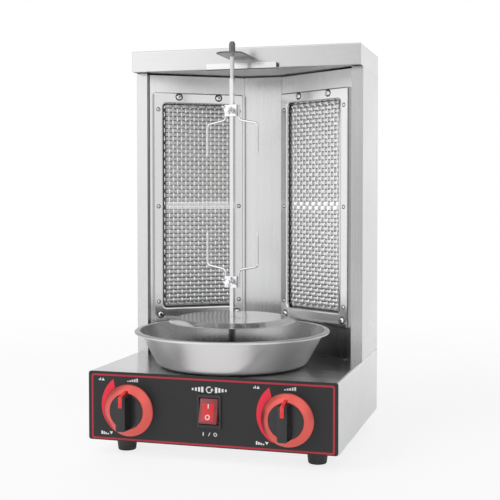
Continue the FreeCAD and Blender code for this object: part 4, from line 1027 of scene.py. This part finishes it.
def make_panel_screws():
    """Cross-point heads of the rear covers' screws and the screws up inside the feet."""
    radius, tall = 4.0, 2.2
    floor, cap, half = low("base_shell").z, low("top_cap").z, high("base_shell").x
    places = [(half - 12, z) for z in (floor + 12, DECK - 14)]
    places += [(half - 7, z) for z in (DECK + 30, (DECK + cap) / 2, cap - 30)]
    seat = high("panel_screws").y - 2.4
    bm = bmesh.new()
    chance = random.Random(5)
    for x, z in places:
        for sign in SIDES.values():
            spin = turned(chance.uniform(0, 1.5))
            add_screw_head(bm, radius, tall, moved(sign * x, seat, z) @ TO_REAR @ spin)
    for x, y in FEET:
        add_screw_head(bm, radius, tall, moved(x, y, 9) @ DOWNWARD)
    piece("cover_screws", bm, HERE, SCREW_LOOKS, "oven", "screw_steel", "panel_screws")


# ---------------------------------------------------------------- floor, light and camera

# Brightness round the object: degrees from straight ahead of its front, and a shade.
LOW_RING = [(-180, 0.7), (-165, 0.78), (-150, 0.5), (-125, 0.2), (-105, 0.4), (-92, 0.75), (-70, 0.75),
            (-50, 0.75), (-27, 0.95), (-17, 0.66), (-8, 0.34), (12, 0.34), (38, 0.6), (55, 0.6), (75, 0.4),
            (95, 0.2), (120, 0.5), (140, 0.95), (163, 0.62), (180, 0.68)]
HIGH_RING = [(-180, 0.2), (-165, 0.4), (-120, 0.15), (-90, 0.3), (-60, 0.85), (-22, 0.88), (-8, 0.4),
             (20, 0.75), (60, 0.75), (95, 0.15), (150, 0.1), (180, 0.2)]
WORLD_RISE = [(-1.0, 0.75), (-0.2, 0.95), (-0.06, 0.88), (0.03, 0.92), (0.12, 1.0), (1.0, 1.0)]
WORLD_STRENGTH = 1.85


def make_world():
    """A studio tent: soft bands of grey and white round the object, plain white behind it."""
    world = bpy.data.worlds.new("studio")
    bpy.context.scene.world = world
    world.use_nodes = True
    sky = Nodes(world.node_tree)

    def ramp(stops, reach, units, value):
        """Brightness from (place, shade) stops. The value runs from -reach to reach, places in units."""
        made = sky.node("ValToRGB", {0: sky.fit(value, 0, 1, -reach, reach)})
        elements = made.color_ramp.elements
        while len(elements) < len(stops):
            elements.new(0.5)
        for element, (place, bright) in zip(elements, stops):
            element.position = (place + units) / (2 * units)
            element.color = (*grey(bright, 0), 1)
        return made.outputs[0]

    x, y, z = sky.node("SeparateXYZ", {0: sky.node("TexCoord").outputs["Generated"]}).outputs
    angle = sky.maths("ARCTAN2", x, sky.maths("MULTIPLY", y, -1))
    lift = sky.fit(z, 0, 1, 0, 0.5, interpolation_type="SMOOTHSTEP")
    rings = sky.mix(lift, ramp(LOW_RING, math.pi, 180, angle), ramp(HIGH_RING, math.pi, 180, angle))
    tent = sky.tree.nodes["Background"]
    sky.feed(tent.inputs["Color"], sky.mix(1, rings, ramp(WORLD_RISE, 1, 1, z), "MULTIPLY"))
    sky.feed(tent.inputs["Strength"], WORLD_STRENGTH)
    plain = sky.node("Background", {"Color": (1, 1, 1, 1)})
    seen = sky.node("LightPath").outputs["Is Camera Ray"]
    both = sky.node("MixShader", {0: seen, 1: tent.outputs[0], 2: plain.outputs[0]})
    sky.feed(sky.tree.nodes["World Output"].inputs["Surface"], both.outputs[0])


def make_floor():
    """A pale floor lit to near white, that fades away at its rim into the white behind it."""
    bm = bmesh.new()
    bmesh.ops.create_circle(bm, cap_ends=True, radius=1600, segments=96)
    floor = make_object("floor", bm)
    finish = Finish("pale_floor", grey(0.8, 0), 0.8, Emission_Color=(1, 1, 1, 1))
    seen = finish.node("LightPath").outputs["Is Camera Ray"]
    finish.tint(seen, grey(0.9, 0), grey(0.16, 0))
    finish.set("Emission Strength", finish.maths("ADD", finish.maths("MULTIPLY", seen, 0.5), 0.28))
    span = finish.node("VectorMath", {0: finish.place()}, operation="LENGTH").outputs["Value"]
    finish.set("Alpha", finish.fit(span, 1, 0, 600, 1500))
    paint(floor, "pale_floor")


def make_light():
    """A large soft light from the front left, which shows in no reflection."""
    light = bpy.data.lights.new("key", "AREA")
    light.shape = "RECTANGLE"
    light.size, light.size_y = 1.3, 1.3
    light.energy = 16
    obj = bpy.data.objects.new("key", light)
    bpy.context.scene.collection.objects.link(obj)
    place, target = Vector((-1.3, -1.9, 1.7)), Vector((0, 0, 0.25))
    obj.location = place
    obj.rotation_euler = (target - place).to_track_quat("-Z", "Y").to_euler()
    obj.visible_glossy = False


def make_camera():
    """The camera of a product shot: a little to the right, level with the middle, long lens."""
    camera = bpy.data.cameras.new("camera")
    camera.lens = 73.5
    camera.shift_x, camera.shift_y = -0.0058, -0.0385
    obj = bpy.data.objects.new("camera", camera)
    bpy.context.scene.collection.objects.link(obj)
    obj.location = (0.3803, -1.2646, 0.3183)
    obj.rotation_euler = (math.radians(88), 0, math.radians(16.012))
    bpy.context.scene.camera = obj


# ---------------------------------------------------------------- build

paint_frame()
for side in SIDES:
    make_burner_frame(side)
    make_cloth(side)
    make_screen(side)
    make_seam_strip(side)
    make_frame_screws(side)
    make_knob(side)
make_hem("right")
make_cap_nut()
make_wing_screw("upper")
make_wing_screw("lower")
make_plate()
make_pan()
make_rocker()
make_border()
make_heat_marks()
make_symbols()
make_feet()
make_gas_fitting()
make_gland()
make_panel_screws()
make_world()
make_floor()
make_light()
make_camera()
bpy.context.scene.view_settings.view_transform = "Standard"
